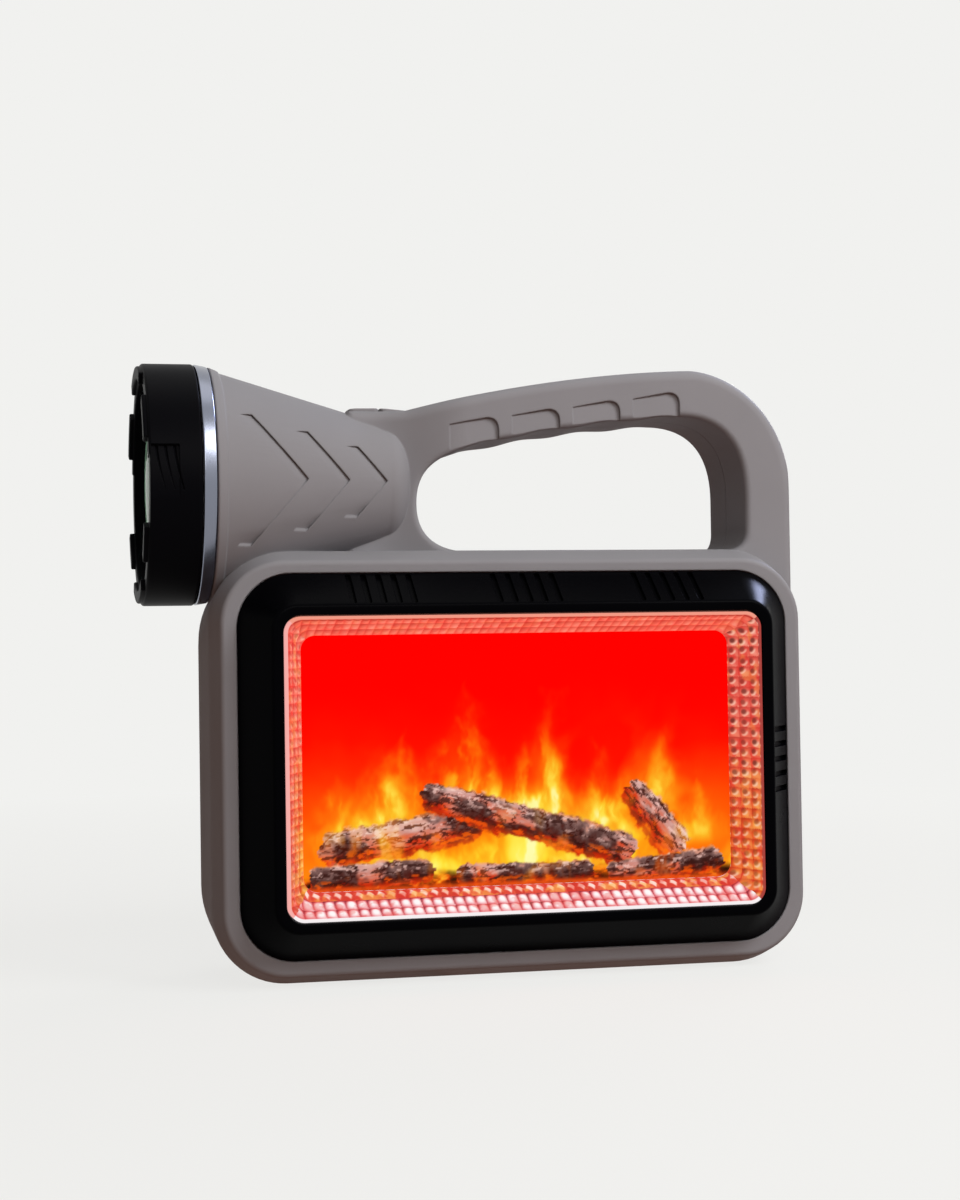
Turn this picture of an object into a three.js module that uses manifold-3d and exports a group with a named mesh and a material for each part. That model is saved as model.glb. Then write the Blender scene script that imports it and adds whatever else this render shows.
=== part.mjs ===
// A rechargeable hand lamp: a torch on the front of a carrying handle, over a lit flame picture.
// Millimetres, +Z up. The picture faces -Y and the torch shines towards -X. It stands on z = 0.
// The torch's axis lies in the plane y = 0, and x = 0 is the middle of the picture's frame.
import * as THREE from "three";
import { mergeVertices } from "three/addons/utils/BufferGeometryUtils.js";
import Module from "manifold-3d";

const wasm = await Module();
wasm.setup();

// Fits and allowances
const gap = 0.3; // between pieces that nest in or rest on each other
const overrun = 3; // how far a cutter runs past what it cuts
const partingY = 1; // the plane where the two half shells meet
const flushInset = 0.05; // how far the handle's sides stay inside the body's
const weldDistance = 1e-4; // points of one mesh nearer than this are the same point

// Housing body
const bodyHalf = 95.5; // half width at its widest, in the plane of the torch's axis
const bodyTop = 132.1;
const creaseY = 20; // where the sides turn in towards the front and rear flats
const creaseDraft = 1.3; // how far the sides come in at each crease and at each flat
const rearCreaseDraft = 2;
const frontDraft = 3.8;
const rearDraft = 4.5;
const creaseHalf = bodyHalf - creaseDraft;
const rearCreaseHalf = bodyHalf - rearCreaseDraft;
const frontHalf = bodyHalf - frontDraft;
const rearHalf = bodyHalf - rearDraft;
const frontY = 31; // the front flat's distance from the torch's axis
const rearY = 31;
const flatDrop = 3.6; // how far the flats stop short of the base and the top
const bodyCorner = 29;
const creaseCorner = 22.5;
const rearCreaseCorner = 27;
const frontCorner = 19.4;
const rearCorner = 23;
const wall = 2.4;
const frontWall = 3;
const rearWall = 2.6;

// Handle and neck, one plate around the hand's window
const gripHalf = 18.5; // half thickness at the grip
const neckHalf = 10.3; // half thickness beside the torch
const neckFromX = -42;
const neckToX = -12;
const handleBevel = 3.5;
const handleTopInset = 34.5; // from the column's outside to the handle's highest point
const handleRise = 57.7; // above the body's top
const shoulderRise = 16.9; // where the rear column starts to curve over
const handleTopX = bodyHalf - handleTopInset;
const handleTopZ = bodyTop + handleRise;
const shoulderZ = bodyTop + shoulderRise;
const shoulderPullX = 13.2;
const shoulderPullZ = 29;
const saddleX = -27; // where the grip starts to rise from the saddle
const saddleRise = 45.1;
const saddleZ = bodyTop + saddleRise;
const topPullX = 19.5;
const topPullDrop = 1.3;
const lipX = -48.3; // the saddle's front edge, over the torch's barrel
const lipRun = 2.7;
const lipDrop = 3.2;

// Window in the handle
const windowLeft = -27.8;
const columnWidth = 16.2;
const windowRight = bodyHalf - columnWidth;
const windowWaistRise = 14.9; // where its left side is upright, above the body's top
const windowWaistZ = bodyTop + windowWaistRise;
const windowFootLeftX = -10;
const windowFootPullX = 14;
const windowFootPullZ = 8.3;
const windowFootCorner = 7.2;
const windowShoulderRise = 17.9;
const windowShoulderZ = bodyTop + windowShoulderRise;
const windowShoulderPullZ = 20;
const windowShoulderPullX = 11;
const windowLeftPullX = 10;
const windowLeftPullZ = 14;
const windowLeftPullDrop = 3.6;
const windowFloorBite = 0.5; // how far its cutter's floor lies under the body's top
const windowChamfer = 1.5;
const gripFromX = -8;
const gripToInset = 22.3; // from the window's right side
const gripFromRise = 33.6;
const gripToRise = 42.6;
const gripToX = windowRight - gripToInset;
const gripFromZ = bodyTop + gripFromRise;
const gripToZ = bodyTop + gripToRise;
const gripBow = 1.4;

// Finger steps on the grip
const fingerCount = 4;
const fingerPitch = 19.9;
const fingerEdgeX = -2.3; // the first step's edge
const fingerRipple = 0.34;
const pocketLength = 15.6;
const pocketDepth = 1.2;
const pocketCorner = 3.8;
const rampStart = 0.15; // how far a ramp starts above the surface
const pocketTopRise = 41.8; // the first pocket's top, at its step
const pocketTopZ = bodyTop + pocketTopRise;
const pocketTopSlopeShare = 0.142;

// Torch barrel
const axisRise = 21.6;
const axisZ = bodyTop + axisRise;
const flangeInset = 3.1; // from the body's side to the barrel's front edge
const flangeX = flangeInset - bodyHalf;
const neckTubeRadius = 34.3;
const flangeLedge = 2.6; // from the neck tube out to the flange
const flangeWidth = 3.2;
const flangeStep = 0.5;
const flangeFall = 1.8; // from the flange's front edge to the cone behind it
const flangeRadius = neckTubeRadius + flangeLedge;
const coneFrontRadius = flangeRadius - flangeFall;
const coneEndX = -37.4;
const coneEndRadius = 19.7;
const tailX = -28; // the barrel's rounded end, inside the neck
const tailRadius = 10;
const neckTubeLength = 10.2;
const neckTubeFrontX = flangeX - neckTubeLength;
const chevronDepth = 0.9;
const chevronWidth = 4.6;
const chevronLeanDegrees = 49;
const chevronApexShares = [0.44, 0.648, 0.84]; // of the barrel's length, from its front
const chevronReachShares = [0.705, 0.625, 0.53]; // of the barrel's radius there

// Crown, ring and lens
const crownWall = 3.05;
const crownRadius = neckTubeRadius + gap + crownWall;
const crownRelief = 0.35; // room for it in the body's corner
const reliefRadius = crownRadius + crownRelief;
const trimWidth = 4.5; // with the gaps on both its sides
const crownLength = 16;
const crownRearX = flangeX - trimWidth;
const crownFrontX = crownRearX - crownLength;
const crownBlock = 1.3; // how far the rim's blocks stand out
const crownLip = 4.5;
const crownChamfer = 0.8;
const crownBlockDegrees = [0, 59, 121, 180, 239, 301]; // the blocks' middles, from the top
const sideBlockDegrees = 25;
const topBlockDegrees = 53;
const thumbDepth = 1;
const crownNotchDepth = 0.7; // where the lens shows over the rim
const crownNotchDegrees = [97, 263];
const crownNotchSpanDegrees = 34;
const thumbInset = 0.7;
const thumbLength = 8.4;
const thumbFromX = crownFrontX + thumbInset;
const thumbToX = thumbFromX + thumbLength;
const thumbTopZ = 9.5; // the thumb recess's step, above the axis
const thumbFootZ = -9;
const lensThick = 2;
const lensPlay = 0.1; // how much narrower it is than the neck tube
const lensOverlap = 1.6; // of the crown's lip over the lens
const lensRadius = neckTubeRadius - lensPlay;
const crownLipRadius = lensRadius - lensOverlap;
const lensRise = 3; // of its domed middle
const lensRimGap = 0.6; // between the dome's foot and the crown's lip
const gasketThick = 0.8;
const gasketWidth = 2.4;
const gasketInner = lensRadius - gasketWidth;
const trimWall = 3;
const trimRadius = neckTubeRadius + gap + trimWall;
const trimRearRadius = flangeRadius;

// Torch light
const dishDepth = 26;
const dishThroat = 6;
const dishWall = 1.2;
const dishPlay = 0.2; // inside the neck tube
const dishRadius = neckTubeRadius - wall - dishWall - dishPlay;
const dishFlange = 1.8;
const starRadius = 14;
const starThick = 1.6;
const ledRadius = 2.6;
const ledHeight = 2.4;
const ledDomeShare = 0.6; // of its height
const sinkThick = 2;
const sinkHub = 9;
const sinkFinRadius = 17;
const sinkFinThick = 1.4;
const sinkFinPitch = 3.4;
const sinkFins = 3;

// Flame picture
const bezelMargin = 4.9; // of the front flat left at each side of it
const bezelLowMargin = 4.85;
const bezelHighMargin = 3.83;
const bezelHalf = frontHalf - bezelMargin;
const bezelLow = flatDrop + bezelLowMargin;
const bezelHigh = bodyTop - flatDrop - bezelHighMargin;
const bezelCorner = frontCorner - bezelMargin;
const bezelSeat = 1.1; // how deep it sits in the front flat
const bezelRise = 13.1; // from the front flat to its crest
const crestRun = 9; // how far the slopes come in, at the sides, below and above
const crestLowRun = 9.65;
const crestHighRun = 9.71;
const crestCorner = 7.5;
const crestHalf = bezelHalf - crestRun;
const crestLow = bezelLow + crestLowRun;
const crestHigh = bezelHigh - crestHighRun;
const bezelWall = 2.4;
const bezelLip = 2;
const crestWidth = 3.6; // of the frame's level crest, at the sides, below and above
const crestLowWidth = 3.2;
const crestHighWidth = 3.36;
const glassHalf = crestHalf - crestWidth;
const glassLow = crestLow + crestLowWidth;
const glassHigh = crestHigh - crestHighWidth;
const glassCorner = 5;
const trayRun = 6.5; // how far the tray's walls come in, at the sides, below and above
const trayLowRun = 7.3;
const trayHighRun = 5.6;
const pictureHalf = glassHalf - trayRun;
const pictureLow = glassLow + trayLowRun;
const pictureHigh = glassHigh - trayHighRun;
const pictureCorner = 4.5;
const pictureInset = 0.5; // how far it lies behind the front flat
const pictureY = frontY - pictureInset;
const glassRim = 0.8;
const glassWall = 1.7;
const glassFlange = 2.1;
const glassFlangeThick = 1.6;
const sealThick = 0.7;
const slotCount = 5;
const slotPitch = 4.65;
const slotWidth = 1.2;
const slotDepth = 0.8;
const slotEndShares = [0.06, 0.94]; // of the slope's length
const slotGroupPitch = 45;
const slotGroupShift = 1;
const filmMargin = 1.3;
const filmThick = 0.4;
const diffuserThick = 2;
const openingMargin = 5.3; // the shell's opening, past the picture
const boxFlange = 9;
const boxFlangeThick = 2;
const boxWall = 5.6;
const boxDepth = 15.6;
const boxCorner = 6;
const flameBoardThick = 1.6;
const flameLedSize = 5;
const flameLedHeight = 1.6;
const flameLedColumns = 3;
const flameLedRows = 2;
const flameLedPitchX = 44;
const flameLedPitchZ = 32;

// Solar panel
const solarMargin = 15; // of the rear flat left at each side of it
const solarLowMargin = 17.4;
const solarHighMargin = 9.5;
const solarHalf = rearHalf - solarMargin;
const solarLow = flatDrop + solarLowMargin;
const solarHigh = bodyTop - flatDrop - solarHighMargin;
const solarCorner = 5;
const solarThick = 2.5;
const solarProud = 0.1; // how far it stays under the rear flat
const solarBacking = 2.2;

// Keys and their switches
const keyFromX = -47.6;
const keyLength = 9.6;
const keyHalf = 4.5;
const keyCorner = 1.8;
const keyBetween = 0.4;
const keyCrest = 1.6; // above the saddle
const keyFall = 0.9; // from the front key's crest to the rear one's end
const keyTravel = 0.8;
const keySlack = 0.1; // left between key and switch at full travel
const keyFlange = 0.8;
const keyFlangeThick = 1.4;
const keyStem = 1.6;
const tactSize = 6;
const tactHeight = 3.5;
const plungerRadius = 1.6;
const plungerHeight = 0.8;
const switchBoardThick = 1.2;
const switchBoardHalf = 7;
const switchBoardMargin = 1.2;
const shelfThick = 2.5;
const shelfFromY = 3;

// Batteries
const cellRadius = 9.15;
const cellLength = 65.2;
const cellCap = 1; // the raised end contact
const cellCapRadius = 3.2;
const holderWall = 1.8;
const holderPlay = 0.65; // behind it, to the solar panel's backing

// Main board and its sockets
const boardLeft = 22;
const boardLow = 64;
const boardHigh = 112;
const boardY = 8;
const boardThick = 1.6;
const portWall = 6.2; // the thick wall around the sockets
const portBlockX = bodyHalf - portWall;
const portBlockY = 17;
const portBlockMargin = 3.5;
const usbLip = 0.5; // a socket's sheet metal
const usbTongueShare = 0.29; // of the room inside a socket
const usbTongueInset = 2; // from each end of a socket
const usbDepth = 5;
const usbALow = 70.4;
const usbAWidth = 13.1;
const usbAHeight = 5.6;
const usbALength = 14;
const usbCLow = 87.5;
const usbCWidth = 9;
const usbCHeight = 3.2;
const usbCLength = 7.4;
const pipeRadius = 1.5;
const pipeZ = 109;
const pipeY = 6;

// Port cover
const coverLow = 67;
const coverHigh = 100;
const coverFromY = 2.2;
const coverRecess = 2.6; // the depth of the recess under it
const coverFloorX = bodyHalf - coverRecess;
const coverThick = 1.4;
const hingeInset = 1.8;
const hingeX = bodyHalf - hingeInset;
const hingeY = 13.2;
const knuckleRadius = 1.2;
const hingeBore = 0.75;
const hingePin = 0.55;
const hingePinEnd = 1.4;

// Screws and bosses
const screwShank = 1.4;
const screwHead = 2.5;
const screwHeadThick = 2;
const screwSeat = 8; // from the parting plane to the head
const screwReach = 6; // from the parting plane to the tip
const screwHole = 1.7;
const screwBore = 2.9;
const bossRadius = 4.4;
const bossSideInset = 15.5; // from the body's side
const bossLowZ = 14;
const bossHighInset = 19.5;
const bossHighDrop = 11.1; // below the body's top
const bossColumnInset = 8.5;
const bossColumnRise = 19.9;
const bossNeckX = -37;
const bossNeckRise = 6.9;
const smallShank = 1.1;
const smallHead = 2.1;
const smallHeadThick = 1.4;
const smallHole = 1.4;
const smallBoss = 2.7;
const bezelScrewSideInset = 7.5;
const bezelScrewInset = 12.6;
const bezelScrewLength = 8;
const boardScrewLength = 6;
const boardScrewInset = 5;

// Leads
const leadRadius = 1.1;
const solarLeadInset = 16; // from the panel's side
const solarLeadDrop = 21; // from its top

// Fineness of curves
const cornerSteps = 5;
const roundSteps = 40;
const smallSteps = 12;
const screwSteps = 8;
const innerSteps = 24;
const bevelSteps = 2;
const curveSteps = 6;
const gripSteps = 24;

// Materials
function matter(color, roughness, metalness, options) {
  return new THREE.MeshStandardMaterial({ color, roughness, metalness, ...options });
}
const clear = { transparent: true, opacity: 0.4 };
const finish = {
  shell: matter(0x86807e, 0.5, 0),
  bezel: matter(0x101012, 0.25, 0),
  crown: matter(0x141416, 0.4, 0),
  chrome: matter(0xc8ccd2, 0.12, 1),
  glass: matter(0xf4f6f6, 0.05, 0, clear),
  rubber: matter(0x6c6867, 0.75, 0),
  seal: matter(0x222222, 0.9, 0),
  film: matter(0xff2a06, 0.4, 0),
  white: matter(0xf2f2f0, 0.5, 0),
  board: matter(0x1d6b3a, 0.5, 0),
  led: matter(0xffd27a, 0.3, 0),
  alloy: matter(0xb9bcc0, 0.35, 1),
  solar: matter(0x10182e, 0.2, 0),
  cell: matter(0x2f6fb3, 0.4, 0),
  black: matter(0x1c1c1e, 0.6, 0),
  steel: matter(0x9a9da2, 0.3, 1),
  lead: matter(0xb02020, 0.5, 0),
};

// Solids from three.js geometry, and back
function signedVolume(positions, index) {
  const a = new THREE.Vector3();
  const b = new THREE.Vector3();
  const c = new THREE.Vector3();
  let total = 0;
  for (let i = 0; i < index.length; i += 3) {
    a.fromArray(positions, index[i] * 3);
    b.fromArray(positions, index[i + 1] * 3);
    c.fromArray(positions, index[i + 2] * 3);
    total += a.dot(b.cross(c));
  }
  return total;
}

// A closed geometry as a manifold solid with its faces outwards.
function solid(geometry) {
  const bare = new THREE.BufferGeometry();
  bare.setAttribute("position", geometry.getAttribute("position").clone());
  if (geometry.index) bare.setIndex(geometry.index.clone());
  const merged = mergeVertices(bare, weldDistance);
  const vertProperties = new Float32Array(merged.attributes.position.array);
  const triVerts = new Uint32Array(merged.index.array);
  if (signedVolume(vertProperties, triVerts) < 0) triVerts.reverse();
  return new wasm.Manifold(new wasm.Mesh({ numProp: 3, vertProperties, triVerts }));
}

function geometryOf(made) {
  const mesh = made.getMesh();
  const positions = new Float32Array(mesh.numVert * 3);
  for (let i = 0; i < mesh.numVert; i++) {
    positions.set(mesh.vertProperties.subarray(i * mesh.numProp, i * mesh.numProp + 3), i * 3);
  }
  const geometry = new THREE.BufferGeometry();
  geometry.setAttribute("position", new THREE.BufferAttribute(positions, 3));
  geometry.setIndex(new THREE.BufferAttribute(new Uint32Array(mesh.triVerts), 1));
  geometry.computeVertexNormals();
  return geometry;
}

const lamp = new THREE.Group();

function place(name, made, material) {
  const mesh = new THREE.Mesh(geometryOf(made), material);
  mesh.name = name;
  lamp.add(mesh);
}

function join(solids) {
  return solids.reduce((all, next) => all.add(next));
}

function cut(from, cutters) {
  return cutters.reduce((left, cutter) => left.subtract(cutter), from);
}

// Basic shapes
function box(x0, x1, y0, y1, z0, z1) {
  const made = new THREE.BoxGeometry(x1 - x0, y1 - y0, z1 - z0);
  made.translate((x0 + x1) / 2, (y0 + y1) / 2, (z0 + z1) / 2);
  return solid(made);
}

// A closed profile of [radius, distance along the axis] pairs, turned about an axis.
function turned(profile, steps = roundSteps) {
  const points = profile.map(([radius, along]) => new THREE.Vector2(radius, along));
  return new THREE.LatheGeometry(points, steps);
}

function tubeProfile(inner, outer, from, to) {
  return [
    [inner, from],
    [outer, from],
    [outer, to],
    [inner, to],
    [inner, from],
  ];
}

function rodProfile(radius, from, to) {
  return [
    [0, from],
    [radius, from],
    [radius, to],
    [0, to],
  ];
}

// Turned about the torch's axis: a distance along it is a place in x.
function aboutTorch(profile, steps = roundSteps) {
  return solid(turned(profile, steps).rotateZ(-Math.PI / 2).translate(0, 0, axisZ));
}

function aboutX(profile, y, z, steps = smallSteps) {
  return solid(turned(profile, steps).rotateZ(-Math.PI / 2).translate(0, y, z));
}

function aboutY(profile, x, z, steps = smallSteps) {
  return solid(turned(profile, steps).translate(x, 0, z));
}

function aboutZ(profile, x, y, steps = smallSteps) {
  return solid(turned(profile, steps).rotateX(Math.PI / 2).translate(x, y, 0));
}

// Outlines in the x, z plane, anticlockwise seen from the front
function roundedRect(half, low, high, corner, inset = 0, middle = 0) {
  const radius = Math.max(corner - inset, flushInset);
  const x = half - inset - radius;
  const bottom = low + inset + radius;
  const top = high - inset - radius;
  const centres = [
    [x, bottom, -Math.PI / 2],
    [x, top, 0],
    [-x, top, Math.PI / 2],
    [-x, bottom, Math.PI],
  ];
  const points = [];
  for (const [cx, cz, start] of centres) {
    for (let i = 0; i <= cornerSteps; i++) {
      const angle = start + (Math.PI / 2) * (i / cornerSteps);
      const out = radius * Math.cos(angle);
      points.push(new THREE.Vector2(middle + cx + out, cz + radius * Math.sin(angle)));
    }
  }
  return points;
}

// The outline moved inwards by a distance, or outwards where it is negative.
function inset(points, distance) {
  return points.map((point, i) => {
    const before = points[(i + points.length - 1) % points.length];
    const after = points[(i + 1) % points.length];
    const first = point.clone().sub(before).normalize();
    const second = after.clone().sub(point).normalize();
    const normal = new THREE.Vector2(-first.y - second.y, first.x + second.x).normalize();
    const stretch = Math.max(normal.x * -first.y + normal.y * first.x, 0.5);
    return point.clone().addScaledVector(normal, distance / stretch);
  });
}

// A closed body through rings of equal point counts, from front to rear.
function loft(rings) {
  const count = rings[0].points.length;
  const positions = [];
  for (const ring of rings) {
    for (const point of ring.points) {
      const y = typeof ring.y === "function" ? ring.y(point.x, point.y) : ring.y;
      positions.push(point.x, y, point.y);
    }
  }
  const index = [];
  const first = rings[0].points;
  const last = rings[rings.length - 1].points;
  const base = (rings.length - 1) * count;
  for (const [a, b, c] of THREE.ShapeUtils.triangulateShape(first, [])) index.push(a, b, c);
  for (const [a, b, c] of THREE.ShapeUtils.triangulateShape(last, [])) {
    index.push(base + a, base + c, base + b);
  }
  for (let ring = 0; ring < rings.length - 1; ring++) {
    for (let i = 0; i < count; i++) {
      const a = ring * count + i;
      const b = ring * count + ((i + 1) % count);
      index.push(a, a + count, b, b, a + count, b + count);
    }
  }
  const geometry = new THREE.BufferGeometry();
  geometry.setAttribute("position", new THREE.Float32BufferAttribute(positions, 3));
  geometry.setIndex(index);
  return solid(geometry);
}

function slab(points, y0, y1) {
  return loft([
    { y: y0, points },
    { y: y1, points },
  ]);
}

// Housing body, solid
function bodyRing(y, half, low, high, corner, in_) {
  return { y, points: roundedRect(half, low, high, corner, in_) };
}

function bodySolid(in_, frontIn, rearIn) {
  const low = flatDrop;
  const high = bodyTop - flatDrop;
  return loft([
    bodyRing(-frontY + frontIn, frontHalf, low, high, frontCorner, in_),
    bodyRing(-creaseY, creaseHalf, 0, bodyTop, creaseCorner, in_),
    bodyRing(0, bodyHalf, 0, bodyTop, bodyCorner, in_),
    bodyRing(creaseY, rearCreaseHalf, 0, bodyTop, rearCreaseCorner, in_),
    bodyRing(rearY - rearIn, rearHalf, low, high, rearCorner, in_),
  ]);
}

// Handle plate
function plateOutline() {
  const foot = bodyTop - bodyCorner;
  const path = new THREE.Path();
  path.moveTo(lipX - lipRun, foot);
  path.lineTo(bodyHalf, foot);
  path.lineTo(bodyHalf, shoulderZ);
  path.bezierCurveTo(
    bodyHalf, shoulderZ + shoulderPullZ,
    handleTopX + shoulderPullX, handleTopZ,
    handleTopX, handleTopZ,
  );
  path.quadraticCurveTo(topPullX, handleTopZ - topPullDrop, saddleX, saddleZ);
  path.lineTo(lipX, saddleZ);
  path.lineTo(lipX - lipRun, saddleZ - lipDrop);
  return path.getPoints(curveSteps * 2);
}

function gripUnderside(x) {
  const along = (x - gripFromX) / (gripToX - gripFromX);
  const line = gripFromZ + (gripToZ - gripFromZ) * along;
  const bow = 4 * gripBow * along * (1 - along);
  return line + bow - fingerRipple * Math.sin((2 * Math.PI * (x - fingerEdgeX)) / fingerPitch);
}

function windowOutline() {
  const floor = bodyTop - windowFloorBite;
  const path = new THREE.Path();
  path.moveTo(windowFootLeftX, floor);
  path.lineTo(windowRight - windowFootCorner, floor);
  path.quadraticCurveTo(windowRight, floor, windowRight, floor + windowFootCorner);
  path.lineTo(windowRight, windowShoulderZ);
  path.bezierCurveTo(
    windowRight, windowShoulderZ + windowShoulderPullZ,
    gripToX + windowShoulderPullX, gripUnderside(gripToX),
    gripToX, gripUnderside(gripToX),
  );
  for (let i = 1; i <= gripSteps; i++) {
    const x = gripToX + (gripFromX - gripToX) * (i / gripSteps);
    path.lineTo(x, gripUnderside(x));
  }
  path.bezierCurveTo(
    gripFromX - windowLeftPullX, gripUnderside(gripFromX) - windowLeftPullDrop,
    windowLeft, windowWaistZ + windowLeftPullZ,
    windowLeft, windowWaistZ,
  );
  path.bezierCurveTo(
    windowLeft, windowWaistZ - windowFootPullZ,
    windowFootLeftX - windowFootPullX, floor,
    windowFootLeftX, floor,
  );
  const points = path.getPoints(curveSteps);
  points.pop();
  return points;
}

// The plate thins from the grip to the neck.
function thickness(x) {
  const along = THREE.MathUtils.smoothstep(x, neckFromX, neckToX);
  return neckHalf + (gripHalf - neckHalf) * along;
}

// A ring at a depth under the plate's front or rear face.
function faceRing(side, depth, points) {
  return { y: (x) => side * (thickness(x) - depth), points };
}

function plateSolid(in_) {
  const outline = inset(plateOutline(), in_);
  const bevel = Math.max(handleBevel - in_, flushInset);
  const rings = [];
  for (let i = 0; i <= bevelSteps; i++) {
    const angle = (Math.PI / 2) * (i / bevelSteps);
    const depth = in_ + bevel * (1 - Math.cos(angle));
    rings.push({ depth, points: inset(outline, bevel * (1 - Math.sin(angle))) });
  }
  const front = rings.map((ring) => faceRing(-1, ring.depth, ring.points));
  const rear = rings.map((ring) => faceRing(1, ring.depth, ring.points)).reverse();
  return loft([...front, ...rear]);
}

function windowSolid(out) {
  const outline = inset(windowOutline(), -out);
  const flared = inset(outline, -windowChamfer);
  return loft([
    faceRing(-1, -overrun, flared),
    faceRing(-1, 0, flared),
    faceRing(-1, windowChamfer, outline),
    faceRing(1, windowChamfer, outline),
    faceRing(1, 0, flared),
    faceRing(1, -overrun, flared),
  ]);
}

// Keeps the handle's column flush with the body's sloping sides.
function sideClip(in_) {
  const top = handleTopZ + overrun;
  const ring = (y, half) => ({ y, points: roundedRect(half - flushInset - in_, -overrun, top, 0) });
  return loft([ring(-creaseY, creaseHalf), ring(0, bodyHalf), ring(creaseY, rearCreaseHalf)]);
}

// A finger pocket: a ramp from the face down to a step, open below.
function fingerPocket(index, side) {
  const edge = fingerEdgeX + index * fingerPitch;
  const start = edge - pocketLength;
  const top = pocketTopZ + pocketTopSlopeShare * (edge - fingerEdgeX);
  const topAtStart = top - pocketTopSlopeShare * pocketLength;
  const low = gripUnderside(start) - overrun;
  const path = new THREE.Path();
  path.moveTo(start, low);
  path.lineTo(edge, low);
  path.lineTo(edge, top - pocketCorner);
  path.quadraticCurveTo(edge, top, edge - pocketCorner, top);
  path.lineTo(start, topAtStart);
  const points = path.getPoints(curveSteps / 2);
  const ramp = (x) => {
    const share = (x - start) / pocketLength;
    return side * (thickness(x) - pocketDepth * share + rampStart * (1 - share));
  };
  const outside = { y: (x) => side * (thickness(x) + overrun), points };
  const floor = { y: ramp, points };
  return side < 0 ? loft([outside, floor]) : loft([floor, outside]);
}

// Barrel, solid
function coneRadius(x) {
  const from = flangeX + flangeWidth;
  return coneFrontRadius + ((coneEndRadius - coneFrontRadius) * (x - from)) / (coneEndX - from);
}

function tailProfile(in_) {
  const points = [];
  for (let i = 1; i <= curveSteps / 2; i++) {
    const angle = (Math.PI / 2) * (i / (curveSteps / 2));
    const x = coneEndX + (tailX - in_ - coneEndX) * Math.sin(angle);
    points.push([tailRadius + (coneEndRadius - in_ - tailRadius) * Math.cos(angle), x]);
  }
  return points;
}

function barrelSolid(in_) {
  const flangeEnd = flangeX + flangeWidth;
  const rim = in_ > 0 ? coneRadius(flangeX) - in_ : flangeRadius;
  const shoulder = in_ > 0 ? coneRadius(flangeEnd) - in_ : coneRadius(flangeEnd) + flangeStep;
  const front = in_ > 0 ? neckTubeFrontX - overrun : neckTubeFrontX;
  return aboutTorch([
    [0, front],
    [neckTubeRadius - in_, front],
    [neckTubeRadius - in_, flangeX],
    [rim, flangeX],
    [shoulder, flangeEnd],
    [coneRadius(flangeEnd) - in_, flangeEnd],
    [coneEndRadius - in_, coneEndX],
    ...tailProfile(in_),
    [0, tailX - in_],
  ]);
}

// An arrow-shaped ramp let into the barrel's side, shallow at its front edge and stepped at its rear one.
function chevron(index, side) {
  const apex = flangeX + chevronApexShares[index] * (tailX - flangeX);
  const reach = chevronReachShares[index] * coneRadius(apex);
  const lean = Math.tan(THREE.MathUtils.degToRad(chevronLeanDegrees));
  const steps = curveSteps * 2;
  const positions = [];
  for (let i = 0; i <= steps; i++) {
    const z = reach * (1 - (2 * i) / steps);
    const rear = apex - Math.abs(z) / lean;
    const front = rear - chevronWidth;
    const surface = (x, depth) => Math.sqrt((coneRadius(x) - depth) ** 2 - z * z);
    positions.push(front, side * (surface(front, 0) + overrun), axisZ + z);
    positions.push(rear, side * (surface(rear, 0) + overrun), axisZ + z);
    positions.push(rear, side * surface(rear, chevronDepth), axisZ + z);
    positions.push(front, side * surface(front, -rampStart), axisZ + z);
  }
  return strip(positions, 4);
}

// A closed body through sections of a few points each.
function strip(positions, count) {
  const sections = positions.length / 3 / count;
  const index = [];
  for (let i = 0; i < sections - 1; i++) {
    for (let j = 0; j < count; j++) {
      const a = i * count + j;
      const b = i * count + ((j + 1) % count);
      index.push(a, b, a + count, b, b + count, a + count);
    }
  }
  const last = (sections - 1) * count;
  for (let j = 1; j < count - 1; j++) {
    index.push(0, j + 1, j, last, last + j, last + j + 1);
  }
  const geometry = new THREE.BufferGeometry();
  geometry.setAttribute("position", new THREE.Float32BufferAttribute(positions, 3));
  geometry.setIndex(index);
  return solid(geometry);
}

// Places that several pieces share
const keyToX = keyFromX + 2 * keyLength + keyBetween;
const crestY = frontY + bezelRise;
const openingHalf = pictureHalf + openingMargin;
const openingLow = pictureLow - openingMargin;
const openingHigh = pictureHigh + openingMargin;
const innerFrontY = frontY - frontWall;
const solarFloorY = rearY - solarProud - solarThick - gap;
const bezelScrewX = bezelHalf - bezelScrewSideInset;
const bezelScrews = [
  [-bezelScrewX, bezelLow + bezelScrewInset],
  [bezelScrewX, bezelLow + bezelScrewInset],
  [-bezelScrewX, bezelHigh - bezelScrewInset],
  [bezelScrewX, bezelHigh - bezelScrewInset],
];
const housingScrews = [
  [bossSideInset - bodyHalf, bossLowZ],
  [bodyHalf - bossSideInset, bossLowZ],
  [bossHighInset - bodyHalf, bodyTop - bossHighDrop],
  [bodyHalf - bossHighInset, bodyTop - bossHighDrop],
  [bodyHalf - bossColumnInset, bodyTop + bossColumnRise],
  [bossNeckX, bodyTop + bossNeckRise],
];
const boardRight = portBlockX - gap;
const solarLeadX = solarHalf - solarLeadInset;
const solarLeadZ = solarHigh - solarLeadDrop;
const boardScrews = [
  [boardLeft + boardScrewInset, boardHigh - boardScrewInset],
  [boardLeft + boardScrewInset, boardLow + boardScrewInset],
];

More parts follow.
